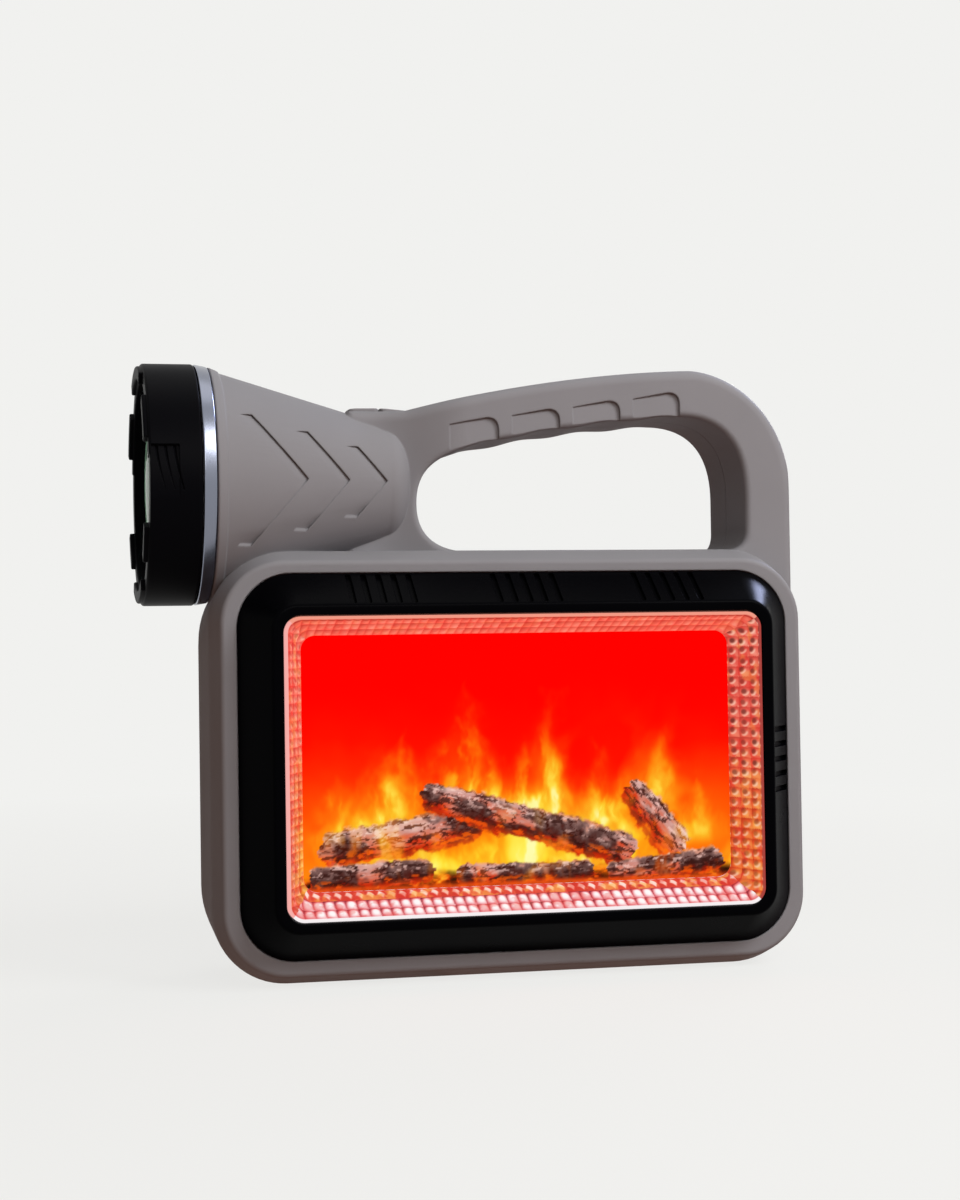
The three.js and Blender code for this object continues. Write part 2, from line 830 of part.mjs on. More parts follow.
// The outside of both shells as one solid
function housingOutside() {
  const plate = plateSolid(0).intersect(sideClip(0)).subtract(windowSolid(0));
  const sides = [-1, 1];
  const pockets = sides.flatMap((side) =>
    Array.from({ length: fingerCount }, (_, i) => fingerPocket(i, side)),
  );
  const arrows = sides.flatMap((side) => chevronApexShares.map((_, i) => chevron(i, side)));
  const barrel = cut(barrelSolid(0), arrows);
  const relief = aboutTorch(rodProfile(reliefRadius, crownFrontX - overrun, flangeX));
  const body = bodySolid(0, 0, 0).subtract(relief);
  return join([body, cut(plate, pockets), barrel]);
}

// The hollow inside both shells
function housingInside() {
  const plate = plateSolid(wall).intersect(sideClip(wall)).subtract(windowSolid(wall));
  const portBlock = box(
    portBlockX, bodyHalf + overrun,
    partingY, portBlockY,
    coverLow - portBlockMargin, pipeZ + portBlockMargin,
  );
  const solarBlock = slab(
    roundedRect(solarHalf + wall, solarLow - wall, solarHigh + wall, solarCorner),
    solarFloorY - solarBacking, rearY + overrun,
  );
  const body = cut(bodySolid(wall, frontWall, rearWall), [portBlock, solarBlock]);
  return join([body, plate, barrelSolid(wall)]);
}

const outside = housingOutside();
const inside = housingInside();
const hollow = outside.subtract(inside);

function half(side) {
  const far = bodyHalf + crownRadius + handleTopZ;
  const from = side < 0 ? -far : partingY + gap / 2;
  const to = side < 0 ? partingY - gap / 2 : far;
  return box(-far, far, from, to, -far, far);
}

// Round posts inside a shell, kept within its outside.
function posts(places, radius, from, to) {
  return join(places.map(([x, z]) => aboutY(rodProfile(radius, from, to), x, z)));
}

function shellPosts(from, to) {
  return posts(housingScrews, bossRadius, from, to).intersect(outside).subtract(holderRoom());
}

function frontShell() {
  const seat = slab(
    roundedRect(bezelHalf + gap, bezelLow - gap, bezelHigh + gap, bezelCorner + gap),
    -frontY - overrun, -frontY + bezelSeat,
  );
  const opening = slab(
    roundedRect(openingHalf, openingLow, openingHigh, pictureCorner + openingMargin),
    -frontY - overrun, -frontY + frontWall + overrun,
  );
  const solidPosts = shellPosts(-frontY, partingY);
  const made = join([hollow, solidPosts]).intersect(half(-1));
  const pilots = posts(housingScrews, screwHole, partingY - screwReach - gap, partingY + overrun);
  const bosses = posts(bezelScrews, smallBoss + gap, -frontY - overrun, -innerFrontY + gap);
  return cut(made, [seat, opening, pilots, bosses, keyWell()]);
}

function keyWell() {
  const length = keyToX - keyFromX;
  const middle = (keyFromX + keyToX) / 2;
  const outline = roundedRect(length / 2 + gap, -keyHalf - gap, keyHalf + gap, keyCorner + gap, 0, middle);
  return upright(outline, saddleZ - wall - overrun, saddleZ + overrun);
}

// A prism with an outline in the x, y plane.
function upright(outline, z0, z1) {
  const shape = new THREE.Shape(outline);
  const made = new THREE.ExtrudeGeometry(shape, { depth: z1 - z0, bevelEnabled: false });
  return solid(made.translate(0, 0, z0));
}

function rearShell() {
  const solidPosts = shellPosts(partingY, rearY);
  const standTop = boardY + boardThick + gap;
  const stands = posts(boardScrews, smallBoss, standTop, rearY).intersect(outside);
  const shelf = box(
    keyFromX, keyToX, shelfFromY, creaseY,
    shelfTop - shelfThick, shelfTop,
  ).intersect(outside);
  const made = join([hollow, solidPosts, shelf]).intersect(half(1)).add(stands);
  const holes = posts(housingScrews, screwHole, partingY - overrun, partingY + screwSeat + overrun);
  const bores = posts(housingScrews, screwBore, partingY + screwSeat, rearY + overrun);
  const pilots = posts(boardScrews, smallHole, standTop - overrun, standTop + boardScrewLength);
  const recess = slab(
    roundedRect(solarHalf, solarLow, solarHigh, solarCorner),
    solarFloorY, rearY + overrun,
  );
  const leadHole = aboutY(rodProfile(leadRadius + gap, standTop, rearY), solarLeadX, solarLeadZ);
  return cut(made, [holes, bores, pilots, recess, leadHole, keyWell(), ...portCuts()]);
}

// Sockets' holes, the cover's recess and its hinge in the rear shell's end wall
function portCuts() {
  const out = bodyHalf + overrun;
  const top = boardY - gap;
  const recess = box(coverFloorX, out, coverFromY, hingeY, coverLow, coverHigh);
  const trough = aboutZ(rodProfile(knuckleRadius + gap, coverLow, coverHigh), hingeX, hingeY);
  const mouth = box(hingeX, out, hingeY - overrun, hingeY + knuckleRadius + gap, coverLow, coverHigh);
  const pin = aboutZ(
    rodProfile(hingeBore, coverLow - hingePinEnd, coverHigh + hingePinEnd),
    hingeX, hingeY,
  );
  const usbA = box(
    portBlockX - overrun, out, top - usbAHeight - gap, top + gap,
    usbALow - gap, usbALow + usbAWidth + gap,
  );
  const usbC = box(
    portBlockX - overrun, out, top - usbCHeight - gap, top + gap,
    usbCLow - gap, usbCLow + usbCWidth + gap,
  );
  const pipe = aboutX(rodProfile(pipeRadius + gap, portBlockX - overrun, out), pipeY, pipeZ);
  return [recess, trough, mouth, pin, usbA, usbC, pipe];
}

// Torch pieces, from the crown inwards
const crownLipRearX = crownFrontX + crownLip; // rear face of the crown's lip
const lensFrontX = crownLipRearX + gap;
const lensRearX = lensFrontX + lensThick;
const gasketFrontX = lensRearX + gap;
const gasketRearX = gasketFrontX + gasketThick;
const dishFrontX = gasketRearX + gap;
const dishVertexX = dishFrontX + dishDepth;
const starFrontX = dishVertexX + dishWall;
const starRearX = starFrontX + starThick;
const sinkFrontX = starRearX + gap;

function crownSector(middle, span) {
  const from = THREE.MathUtils.degToRad(middle - span / 2);
  const to = THREE.MathUtils.degToRad(middle + span / 2);
  const reach = crownRadius + overrun;
  const points = [new THREE.Vector2(0, 0)];
  for (let i = 0; i <= curveSteps; i++) {
    const angle = from + (to - from) * (i / curveSteps);
    points.push(new THREE.Vector2(reach * Math.sin(angle), reach * Math.cos(angle)));
  }
  return points;
}

// A wedge of the crown between two places on the torch's axis.
function crownWedge(middle, span, from, to) {
  const shape = new THREE.Shape(crownSector(middle, span));
  const wedge = new THREE.ExtrudeGeometry(shape, { depth: to - from, bevelEnabled: false });
  return solid(wedge.rotateX(Math.PI / 2).rotateZ(Math.PI / 2).translate(from, 0, axisZ));
}

// A rim block: a sector of the tube between the crown's front and the block's face.
function crownTooth(middle, span) {
  const face = crownFrontX - crownBlock;
  const rim = tubeProfile(crownLipRadius, crownRadius - crownChamfer, face, crownFrontX + crownChamfer);
  return crownWedge(middle, span, face - overrun, face + overrun).intersect(aboutTorch(rim));
}

// A thumb recess in the crown's side: deepest under its step, and running out below.
function thumbRecess(side) {
  const depthAt = (z) => Math.sqrt(crownRadius ** 2 - z * z);
  const steps = curveSteps;
  const positions = [];
  for (let i = 0; i <= steps; i++) {
    const z = thumbTopZ + (thumbFootZ - thumbTopZ) * (i / steps);
    const floor = depthAt(z) - thumbDepth * (1 - i / steps) + rampStart * (i / steps);
    positions.push(thumbFromX, side * floor, axisZ + side * -z);
    positions.push(thumbToX, side * floor, axisZ + side * -z);
    positions.push(thumbToX, side * (crownRadius + overrun), axisZ + side * -z);
    positions.push(thumbFromX, side * (crownRadius + overrun), axisZ + side * -z);
  }
  return strip(positions, 4);
}

function crownBezel() {
  const bore = neckTubeRadius + gap;
  const shell = aboutTorch([
    [bore, crownRearX],
    [crownRadius - crownChamfer, crownRearX],
    [crownRadius, crownRearX - crownChamfer],
    [crownRadius, crownFrontX + crownChamfer],
    [crownRadius - crownChamfer, crownFrontX],
    [crownLipRadius, crownFrontX],
    [crownLipRadius, crownLipRearX],
    [bore, crownLipRearX],
    [bore, crownRearX],
  ]);
  const teeth = crownBlockDegrees.map((middle) =>
    crownTooth(middle, middle % 180 === 0 ? topBlockDegrees : sideBlockDegrees),
  );
  const notches = crownNotchDegrees.map((middle) =>
    crownWedge(middle, crownNotchSpanDegrees, crownFrontX - overrun, crownFrontX + crownNotchDepth),
  );
  return cut(join([shell, ...teeth]), [...notches, thumbRecess(-1), thumbRecess(1)]);
}

function trimRing() {
  return aboutTorch([
    [neckTubeRadius + gap, crownRearX + gap],
    [trimRadius, crownRearX + gap],
    [trimRearRadius, flangeX - gap],
    [neckTubeRadius + gap, flangeX - gap],
    [neckTubeRadius + gap, crownRearX + gap],
  ]);
}

function dishInner(depth) {
  return dishRadius * Math.sqrt(depth / dishDepth);
}

function torchReflector() {
  const throatDepth = dishDepth * (dishThroat / dishRadius) ** 2;
  const inner = [];
  const outer = [];
  const steps = curveSteps - 1;
  for (let i = 0; i <= steps; i++) {
    const depth = throatDepth + (dishDepth - throatDepth) * (1 - i / steps) ** 2;
    inner.push([dishInner(depth), dishVertexX - depth]);
    outer.push([dishInner(depth) + dishWall, dishVertexX - depth]);
  }
  outer[0] = [dishRadius + dishWall, dishFrontX + dishFlange];
  return aboutTorch([
    ...inner,
    [dishThroat, dishVertexX + dishWall - gap],
    [dishThroat + dishWall, dishVertexX + dishWall - gap],
    ...outer.reverse(),
    [lensRadius, dishFrontX + dishFlange],
    [lensRadius, dishFrontX],
    inner[0],
  ], innerSteps);
}

function torchLed() {
  const profile = [[0, starFrontX - gap]];
  profile.push([ledRadius, starFrontX - gap]);
  for (let i = 0; i <= curveSteps / 2; i++) {
    const angle = (Math.PI / 2) * (i / (curveSteps / 2));
    const height = ledHeight * (1 - ledDomeShare * (1 - Math.sin(angle)));
    profile.push([ledRadius * Math.cos(angle), starFrontX - gap - height]);
  }
  profile[profile.length - 1][0] = 0;
  return aboutTorch(profile, smallSteps);
}

function heatSink() {
  const rear = sinkFrontX + sinkThick;
  const profile = [
    [0, sinkFrontX],
    [coneRadius(sinkFrontX) - wall - gap, sinkFrontX],
    [coneRadius(rear) - wall - gap, rear],
    [sinkHub, rear],
  ];
  for (let i = 1; i <= sinkFins; i++) {
    const x = rear + i * sinkFinPitch;
    profile.push([sinkHub, x - sinkFinThick], [sinkFinRadius, x - sinkFinThick], [sinkFinRadius, x]);
    profile.push([i < sinkFins ? sinkHub : 0, x]);
  }
  return aboutTorch(profile, innerSteps);
}

function torchLens() {
  const foot = crownLipRadius - lensRimGap;
  const profile = [];
  for (let i = 0; i <= curveSteps; i++) {
    const share = i / curveSteps;
    profile.push([foot * share, lensFrontX - lensRise * (1 - share * share)]);
  }
  profile.push([lensRadius, lensFrontX], [lensRadius, lensRearX], [0, lensRearX]);
  return aboutTorch(profile);
}

function buildTorch() {
  place("trim_ring", trimRing(), finish.chrome);
  place("crown_bezel", crownBezel(), finish.crown);
  place("torch_lens", torchLens(), finish.glass);
  const gasket = tubeProfile(gasketInner, lensRadius, gasketFrontX, gasketRearX);
  place("lens_gasket", aboutTorch(gasket), finish.seal);
  place("torch_reflector", torchReflector(), finish.chrome);
  place("torch_led_board", aboutTorch(rodProfile(starRadius, starFrontX, starRearX)), finish.white);
  place("torch_led", torchLed(), finish.led);
  place("heat_sink", heatSink(), finish.alloy);
}

// Flame picture, from the black frame inwards
function bezelRing(y, inward) {
  const share = (y - frontY) / bezelRise;
  const between = (a, b) => a + (b - a) * share;
  return {
    y: -y,
    points: roundedRect(
      between(bezelHalf, crestHalf), between(bezelLow, crestLow), between(bezelHigh, crestHigh),
      between(bezelCorner, crestCorner), inward,
    ),
  };
}

// A groove straight down the bezel's slope, over its top edge.
function topSlot(x) {
  const outer = [frontY, bezelHigh];
  const crest = [crestY, crestHigh];
  return slopeSlot((y, z, along) => [x + along, -y, z], outer, crest);
}

// The same over its right-hand edge.
function sideSlot(z) {
  const outer = [frontY, bezelHalf];
  const crest = [crestY, crestHalf];
  return slopeSlot((y, x, along) => [x, -y, z - along], outer, crest);
}

function slopeSlot(at, outer, crest) {
  const length = Math.hypot(crest[0] - outer[0], crest[1] - outer[1]);
  const run = [(crest[0] - outer[0]) / length, (crest[1] - outer[1]) / length];
  const out = [-run[1], run[0]];
  const corner = (share, lift) => [
    outer[0] + run[0] * length * share + out[0] * lift,
    outer[1] + run[1] * length * share + out[1] * lift,
  ];
  const positions = [];
  const [from, to] = slotEndShares;
  const section = [
    corner(from, -slotDepth), corner(to, -slotDepth),
    corner(to, overrun), corner(from, overrun),
  ];
  for (const along of [-slotWidth / 2, slotWidth / 2]) {
    for (const [y, other] of section) positions.push(...at(y, other, along));
  }
  return strip(positions, 4);
}

function slotGroup(middle, make) {
  const first = middle - ((slotCount - 1) * slotPitch) / 2;
  return Array.from({ length: slotCount }, (_, i) => make(first + i * slotPitch));
}

function flameBezel() {
  const rear = frontY - bezelSeat + gap;
  const shell = loft([
    bezelRing(crestY, 0),
    bezelRing(frontY, 0),
    { y: -rear, points: roundedRect(bezelHalf, bezelLow, bezelHigh, bezelCorner) },
  ]);
  const cavity = loft([
    bezelRing(crestY - bezelLip, bezelWall),
    bezelRing(frontY, bezelWall),
    { y: -rear + overrun, points: roundedRect(bezelHalf, bezelLow, bezelHigh, bezelCorner, bezelWall) },
  ]);
  const hole = slab(
    roundedRect(glassHalf + gap, glassLow - gap, glassHigh + gap, glassCorner + gap),
    -crestY - overrun, -rear + overrun,
  );
  const bosses = posts(bezelScrews, smallBoss, -crestY, -rear).intersect(shell);
  const pilots = posts(bezelScrews, smallHole, -innerFrontY - bezelScrewLength, -rear + overrun);
  const middleZ = (bezelLow + bezelHigh) / 2;
  const slots = [-1, 0, 1].flatMap((group) => slotGroup(slotGroupShift + group * slotGroupPitch, topSlot));
  const sideSlots = slotGroup(middleZ - slotGroupShift, sideSlot);
  const frame = join([shell.subtract(cavity), bosses]);
  return cut(frame, [hole, pilots, ...slots, ...sideSlots]);
}

const flangeFrontY = crestY - bezelLip - sealThick - 2 * gap; // the glass tray's flange
const flangeRearY = flangeFrontY - glassFlangeThick;
const glassBackY = pictureY - glassWall;

function glassRing(y, half, low, high, corner, inward) {
  return { y: -y, points: roundedRect(half, low, high, corner, inward) };
}

function flameWindow() {
  const outer = loft([
    glassRing(crestY, glassHalf, glassLow, glassHigh, glassCorner, 0),
    glassRing(flangeFrontY, glassHalf, glassLow, glassHigh, glassCorner, 0),
    glassRing(flangeRearY, glassHalf, glassLow, glassHigh, glassCorner, 0),
    glassRing(glassBackY, pictureHalf, pictureLow, pictureHigh, pictureCorner, -glassWall),
  ]);
  const flange = slab(
    roundedRect(glassHalf, glassLow, glassHigh, glassCorner, -glassFlange),
    -flangeFrontY, -flangeRearY,
  );
  const room = loft([
    glassRing(crestY + overrun, glassHalf, glassLow, glassHigh, glassCorner, glassRim),
    glassRing(crestY, glassHalf, glassLow, glassHigh, glassCorner, glassRim),
    glassRing(pictureY, pictureHalf, pictureLow, pictureHigh, pictureCorner, 0),
  ]);
  return join([outer, flange]).subtract(room);
}

function windowGasket() {
  const from = -crestY + bezelLip + gap;
  const outer = roundedRect(glassHalf, glassLow, glassHigh, glassCorner, -glassFlange);
  const inner = roundedRect(glassHalf, glassLow, glassHigh, glassCorner, -gap);
  const hole = slab(inner, from - overrun, from + sealThick + overrun);
  return slab(outer, from, from + sealThick).subtract(hole);
}

const filmFrontY = glassBackY - gap;
const filmRearY = filmFrontY - filmThick;
const diffuserFrontY = filmRearY - gap;
const diffuserRearY = diffuserFrontY - diffuserThick;
const boxFrontY = diffuserRearY - gap;
const boxRearY = boxFrontY - boxDepth;
const flameBoardFrontY = boxRearY - gap;
const flameBoardRearY = flameBoardFrontY - flameBoardThick;

function sheet(front, rear) {
  return slab(
    roundedRect(pictureHalf, pictureLow, pictureHigh, pictureCorner, -filmMargin),
    -front, -rear,
  );
}

function lightBox() {
  const flangeFront = innerFrontY - gap;
  const ring = (margin, corner = boxCorner) =>
    roundedRect(pictureHalf, pictureLow, pictureHigh, corner, -margin);
  const outer = slab(ring(openingMargin - gap), -flangeFront - gap, -boxRearY);
  const flange = slab(ring(openingMargin + boxFlange), -flangeFront, -flangeFront + boxFlangeThick);
  const seat = slab(ring(filmMargin + gap, pictureCorner), -flangeFront - overrun, -boxFrontY);
  const chamber = slab(ring(openingMargin - gap - boxWall), -flangeFront - overrun, -boxRearY + overrun);
  const flangeRear = -flangeFront + boxFlangeThick;
  const holes = posts(bezelScrews, smallHole, -flangeFront - overrun, flangeRear + overrun);
  const pilots = posts(flameBoardScrews, smallHole, -boxRearY - boardScrewLength, -boxRearY + overrun);
  return cut(join([outer, flange]), [seat, chamber, holes, pilots]);
}

const pictureMiddleZ = (pictureLow + pictureHigh) / 2;
const flameBoardScrewX = pictureHalf + openingMargin - gap - boxWall / 2;
const flameBoardScrews = [
  [-flameBoardScrewX, pictureMiddleZ],
  [flameBoardScrewX, pictureMiddleZ],
];

function flameLed(column, row) {
  const x = (column - (flameLedColumns - 1) / 2) * flameLedPitchX;
  const z = pictureMiddleZ + (row - (flameLedRows - 1) / 2) * flameLedPitchZ;
  const r = flameLedSize / 2;
  return box(
    x - r, x + r,
    -flameBoardFrontY - gap - flameLedHeight, -flameBoardFrontY - gap,
    z - r, z + r,
  );
}

function buildFlame() {
  place("flame_bezel", flameBezel(), finish.bezel);
  place("flame_window", flameWindow(), finish.glass);
  place("window_gasket", windowGasket(), finish.seal);
  place("flame_film", sheet(filmFrontY, filmRearY), finish.film);
  place("flame_diffuser", sheet(diffuserFrontY, diffuserRearY), finish.white);
  place("light_box", lightBox(), finish.white);
  const outline = roundedRect(pictureHalf, pictureLow, pictureHigh, boxCorner, -(openingMargin - gap));
  const board = slab(outline, -flameBoardFrontY, -flameBoardRearY);
  const holes = posts(
    flameBoardScrews, smallHole,
    -flameBoardFrontY - overrun, -flameBoardRearY + overrun,
  );
  place("flame_led_board", board.subtract(holes), finish.board);
  for (let column = 0; column < flameLedColumns; column++) {
    for (let row = 0; row < flameLedRows; row++) {
      place(`flame_led_${column * flameLedRows + row + 1}`, flameLed(column, row), finish.led);
    }
  }
}

// Solar panel
function buildSolar() {
  const outline = roundedRect(solarHalf, solarLow, solarHigh, solarCorner, gap);
  const rear = rearY - solarProud;
  place("solar_panel", slab(outline, rear - solarThick, rear), finish.solar);
}

// Keys, their switches and the switches' board
const keyFlangeTop = saddleZ - wall - gap;
const tactTop = keyFlangeTop - keyFlangeThick - keyStem - keyTravel - keySlack;
const tactBase = tactTop - plungerHeight - tactHeight;
const switchBoardTop = tactBase - gap;
const shelfTop = switchBoardTop - switchBoardThick - gap;

function keyOutline(index, out) {
  const middle = keyMiddle(index);
  return roundedRect(keyLength / 2 + out, -keyHalf - out, keyHalf + out, keyCorner + out, 0, middle);
}

function keyMiddle(index) {
  return keyFromX + keyLength / 2 + index * (keyLength + keyBetween);
}

// Height of the crowned line over both keys.
function keyCrown(x) {
  const share = (x - keyFromX) / (keyToX - keyFromX);
  return saddleZ + keyCrest - keyFall * share * share;
}

function thumbKey(index) {
  const outline = keyOutline(index, 0);
  const middle = keyMiddle(index);
  const cap = upright(outline, keyFlangeTop - gap, saddleZ + keyCrest + overrun);
  const start = middle - keyLength / 2 - overrun;
  const end = middle + keyLength / 2 + overrun;
  const lid = new THREE.Path();
  lid.moveTo(start, keyFlangeTop - overrun);
  lid.lineTo(end, keyFlangeTop - overrun);
  for (let i = 0; i <= curveSteps; i++) {
    const x = end + (start - end) * (i / curveSteps);
    lid.lineTo(x, keyCrown(x));
  }
  const under = slab(lid.getPoints(1), -keyHalf - overrun, keyHalf + overrun);
  const flange = upright(
    roundedRect(keyLength / 2, -keyHalf - keyFlange, keyHalf + keyFlange, keyCorner, 0, middle),
    keyFlangeTop - keyFlangeThick, keyFlangeTop,
  );
  const stemLow = keyFlangeTop - keyFlangeThick - keyStem;
  const stem = aboutZ(rodProfile(plungerRadius, stemLow, keyFlangeTop), middle, 0);
  return join([cap.intersect(under), flange, stem]);
}

function tactSwitch(index) {
  const middle = keyMiddle(index);
  const r = tactSize / 2;
  const body = box(middle - r, middle + r, -r, r, tactBase, tactBase + tactHeight);
  const plunger = aboutZ(rodProfile(plungerRadius, tactBase + tactHeight / 2, tactTop), middle, 0);
  return body.add(plunger);
}

function buildKeys() {
  place("torch_key", thumbKey(0), finish.rubber);
  place("flame_key", thumbKey(1), finish.rubber);
  place("torch_switch", tactSwitch(0), finish.black);
  place("flame_switch", tactSwitch(1), finish.black);
  const board = box(
    keyFromX - switchBoardMargin, keyToX + switchBoardMargin,
    -switchBoardHalf, switchBoardHalf,
    switchBoardTop - switchBoardThick, switchBoardTop,
  );
  place("switch_board", board, finish.board);
}

// Batteries in their holder, and the room that the shells' posts leave for it
const holderRearY = solarFloorY - solarBacking - holderPlay;
const holderY = holderRearY - holderWall - gap - cellRadius;
// The floor under the holder rises by this much towards the rear.
const holderRise = (flatDrop * (holderRearY - creaseY)) / (rearY - rearWall - creaseY);
const holderLow = wall + holderRise + gap;
const cellZ = holderLow + holderWall + gap + cellRadius;
const holderHalf = holderWall / 2 + gap + cellLength + cellCap + gap + holderWall;

function cell(side) {
  const near = holderWall / 2 + gap;
  const far = near + cellLength;
  const profile = [
    [0, near],
    [cellRadius, near],
    [cellRadius, far],
    [cellCapRadius, far],
    [cellCapRadius, far + cellCap],
    [0, far + cellCap],
  ];
  return aboutX(profile.map(([radius, x]) => [radius, side * x]), holderY, cellZ, smallSteps * 2);
}

function holderRoom() {
  return box(
    -holderHalf - gap, holderHalf + gap,
    holderY - cellRadius - gap, holderRearY + gap,
    holderLow - gap, cellZ + cellRadius + gap,
  );
}

function batteryHolder() {
  const reach = cellRadius + gap;
  const block = box(
    -holderHalf, holderHalf,
    holderY - cellRadius, holderRearY,
    holderLow, cellZ + cellRadius,
  );
  const bays = [-1, 1].map((side) => {
    const near = holderWall / 2;
    const far = holderHalf - holderWall;
    const from = side < 0 ? -far : near;
    const to = side < 0 ? -near : far;
    const bore = aboutX(rodProfile(reach, from, to), holderY, cellZ, smallSteps * 2);
    const mouth = box(from, to, holderY - cellRadius - overrun, holderY, cellZ - reach, cellZ + reach);
    return bore.add(mouth);
  });
  return cut(block, bays);
}

function buildBatteries() {
  place("battery_holder", batteryHolder(), finish.black);
  place("battery_1", cell(-1), finish.cell);
  place("battery_2", cell(1), finish.cell);
}

// Main board, sockets and light pipe
function usbSocket(low, width, height, length) {
  const top = boardY - gap;
  const mouth = coverFloorX - gap;
  const shell = box(mouth - length, mouth, top - height, top, low, low + width);
  const room = box(
    mouth - usbDepth, mouth + overrun,
    top - height + usbLip, top - usbLip,
    low + usbLip, low + width - usbLip,
  );
  const tongueHalf = (usbTongueShare * (height - 2 * usbLip)) / 2;
  const middle = top - height / 2;
  const tongue = box(
    mouth - usbDepth - usbLip, mouth - usbLip,
    middle - tongueHalf, middle + tongueHalf,
    low + usbTongueInset, low + width - usbTongueInset,
  );
  return shell.subtract(room).add(tongue);
}

function buildBoard() {
  const board = box(boardLeft, boardRight, boardY, boardY + boardThick, boardLow, boardHigh);
  const holes = posts(boardScrews, smallHole, boardY - overrun, boardY + boardThick + overrun);
  place("main_board", board.subtract(holes), finish.board);
  place("usb_a_port", usbSocket(usbALow, usbAWidth, usbAHeight, usbALength), finish.steel);
  place("usb_c_port", usbSocket(usbCLow, usbCWidth, usbCHeight, usbCLength), finish.steel);
  const wallX = bodyHalf + ((rearCreaseHalf - bodyHalf) * pipeY) / creaseY;
  const pipe = aboutX(rodProfile(pipeRadius, portBlockX - gap, wallX - gap), pipeY, pipeZ);
  place("charge_indicator", pipe, finish.glass);
}

// Port cover on its pin
function portCover() {
  const low = coverLow + gap;
  const high = coverHigh - gap;
  const plate = box(
    coverFloorX + gap, coverFloorX + gap + coverThick,
    coverFromY + gap, hingeY,
    low, high,
  );
  const knuckle = aboutZ(rodProfile(knuckleRadius, low, high), hingeX, hingeY);
  const bore = aboutZ(rodProfile(hingeBore, low - overrun, high + overrun), hingeX, hingeY);
  return plate.add(knuckle).subtract(bore);
}

function buildCover() {
  place("port_cover", portCover(), finish.rubber);
  const reach = hingePinEnd - gap;
  const pin = aboutZ(rodProfile(hingePin, coverLow - reach, coverHigh + reach), hingeX, hingeY);
  place("port_cover_pin", pin, finish.steel);
}

// A screw with its head's underside at seatY, driven towards the front (-1) or the rear (1).
function screw([x, z], seatY, length, size, toward = -1) {
  const profile = [
    [0, length],
    [size.shank / 2, length],
    [size.shank, length - size.shank],
    [size.shank, 0],
    [size.head, 0],
    [size.head, -size.headThick],
    [0, -size.headThick],
  ];
  const along = profile.map(([radius, depth]) => [radius, seatY + toward * depth]);
  return aboutY(along, x, z, screwSteps);
}

function buildScrews() {
  const large = { shank: screwShank, head: screwHead, headThick: screwHeadThick };
  const small = { shank: smallShank, head: smallHead, headThick: smallHeadThick };
  const shellSeat = partingY + screwSeat + gap;
  const shellLength = screwSeat + gap + screwReach;
  housingScrews.forEach((at, i) => {
    place(`housing_screw_${i + 1}`, screw(at, shellSeat, shellLength, large), finish.steel);
  });
  const boxSeat = -innerFrontY + 2 * gap + boxFlangeThick;
  bezelScrews.forEach((at, i) => {
    place(`bezel_screw_${i + 1}`, screw(at, boxSeat, bezelScrewLength, small), finish.steel);
  });
  const flameSeat = -flameBoardRearY + gap;
  flameBoardScrews.forEach((at, i) => {
    place(`flame_board_screw_${i + 1}`, screw(at, flameSeat, boardScrewLength, small), finish.steel);
  });
  boardScrews.forEach((at, i) => {
    place(`main_board_screw_${i + 1}`, screw(at, boardY - gap, boardScrewLength, small, 1), finish.steel);
  });
}

// The lead from the solar panel to the main board
function buildLeads() {
  const solarFrom = solarFloorY + gap;
  const boardRearY = boardY + boardThick;
  const profile = rodProfile(leadRadius, boardRearY + gap, solarFrom - gap);
  place("solar_lead", aboutY(profile, solarLeadX, solarLeadZ), finish.lead);
}

place("front_shell", frontShell(), finish.shell);
place("rear_shell", rearShell(), finish.shell);
buildTorch();
buildFlame();
buildSolar();
buildKeys();
buildBatteries();
buildBoard();
buildCover();
buildScrews();
buildLeads();

export default lamp;
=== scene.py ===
"""The looks of a rechargeable hand lamp: a torch on a carrying handle, over a lit fire picture.

Sizes are in millimetres until a mesh is made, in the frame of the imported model: +Z up, the picture
faces -Y and the torch shines towards -X.
"""
import math
from contextlib import contextmanager

import bmesh
import bpy
import numpy as np
from mathutils import Matrix, Vector


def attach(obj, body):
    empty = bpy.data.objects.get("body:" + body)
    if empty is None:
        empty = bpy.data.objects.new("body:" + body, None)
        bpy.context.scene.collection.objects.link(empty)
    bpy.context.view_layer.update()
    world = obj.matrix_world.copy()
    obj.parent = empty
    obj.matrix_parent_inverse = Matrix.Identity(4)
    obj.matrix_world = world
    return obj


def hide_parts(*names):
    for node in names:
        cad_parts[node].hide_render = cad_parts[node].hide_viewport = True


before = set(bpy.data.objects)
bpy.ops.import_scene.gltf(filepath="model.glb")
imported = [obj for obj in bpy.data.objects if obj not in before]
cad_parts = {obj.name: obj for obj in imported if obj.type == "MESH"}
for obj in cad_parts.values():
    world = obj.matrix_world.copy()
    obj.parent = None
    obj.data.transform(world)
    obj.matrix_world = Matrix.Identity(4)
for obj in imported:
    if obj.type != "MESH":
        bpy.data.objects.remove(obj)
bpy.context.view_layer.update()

MM = 0.001
GAP = 0.3  # between pieces that nest in each other
OVERRUN = 3.0  # how far a cutter runs past what it cuts
FAR = 300.0  # well beyond the lamp
X, Y, Z = np.eye(3)

# Camera, fitted to the photograph's view of the lamp
EYE = (-0.16104, -0.68205, 0.10114)
CAMERA_AXES = [
    (0.97477441, -0.22268422, -0.01505298),  # right
    (0.00963702, -0.02538799, 0.99963122),  # up
    (-0.22298426, -0.97456, -0.02260155),  # back
]
LENS = 65.25

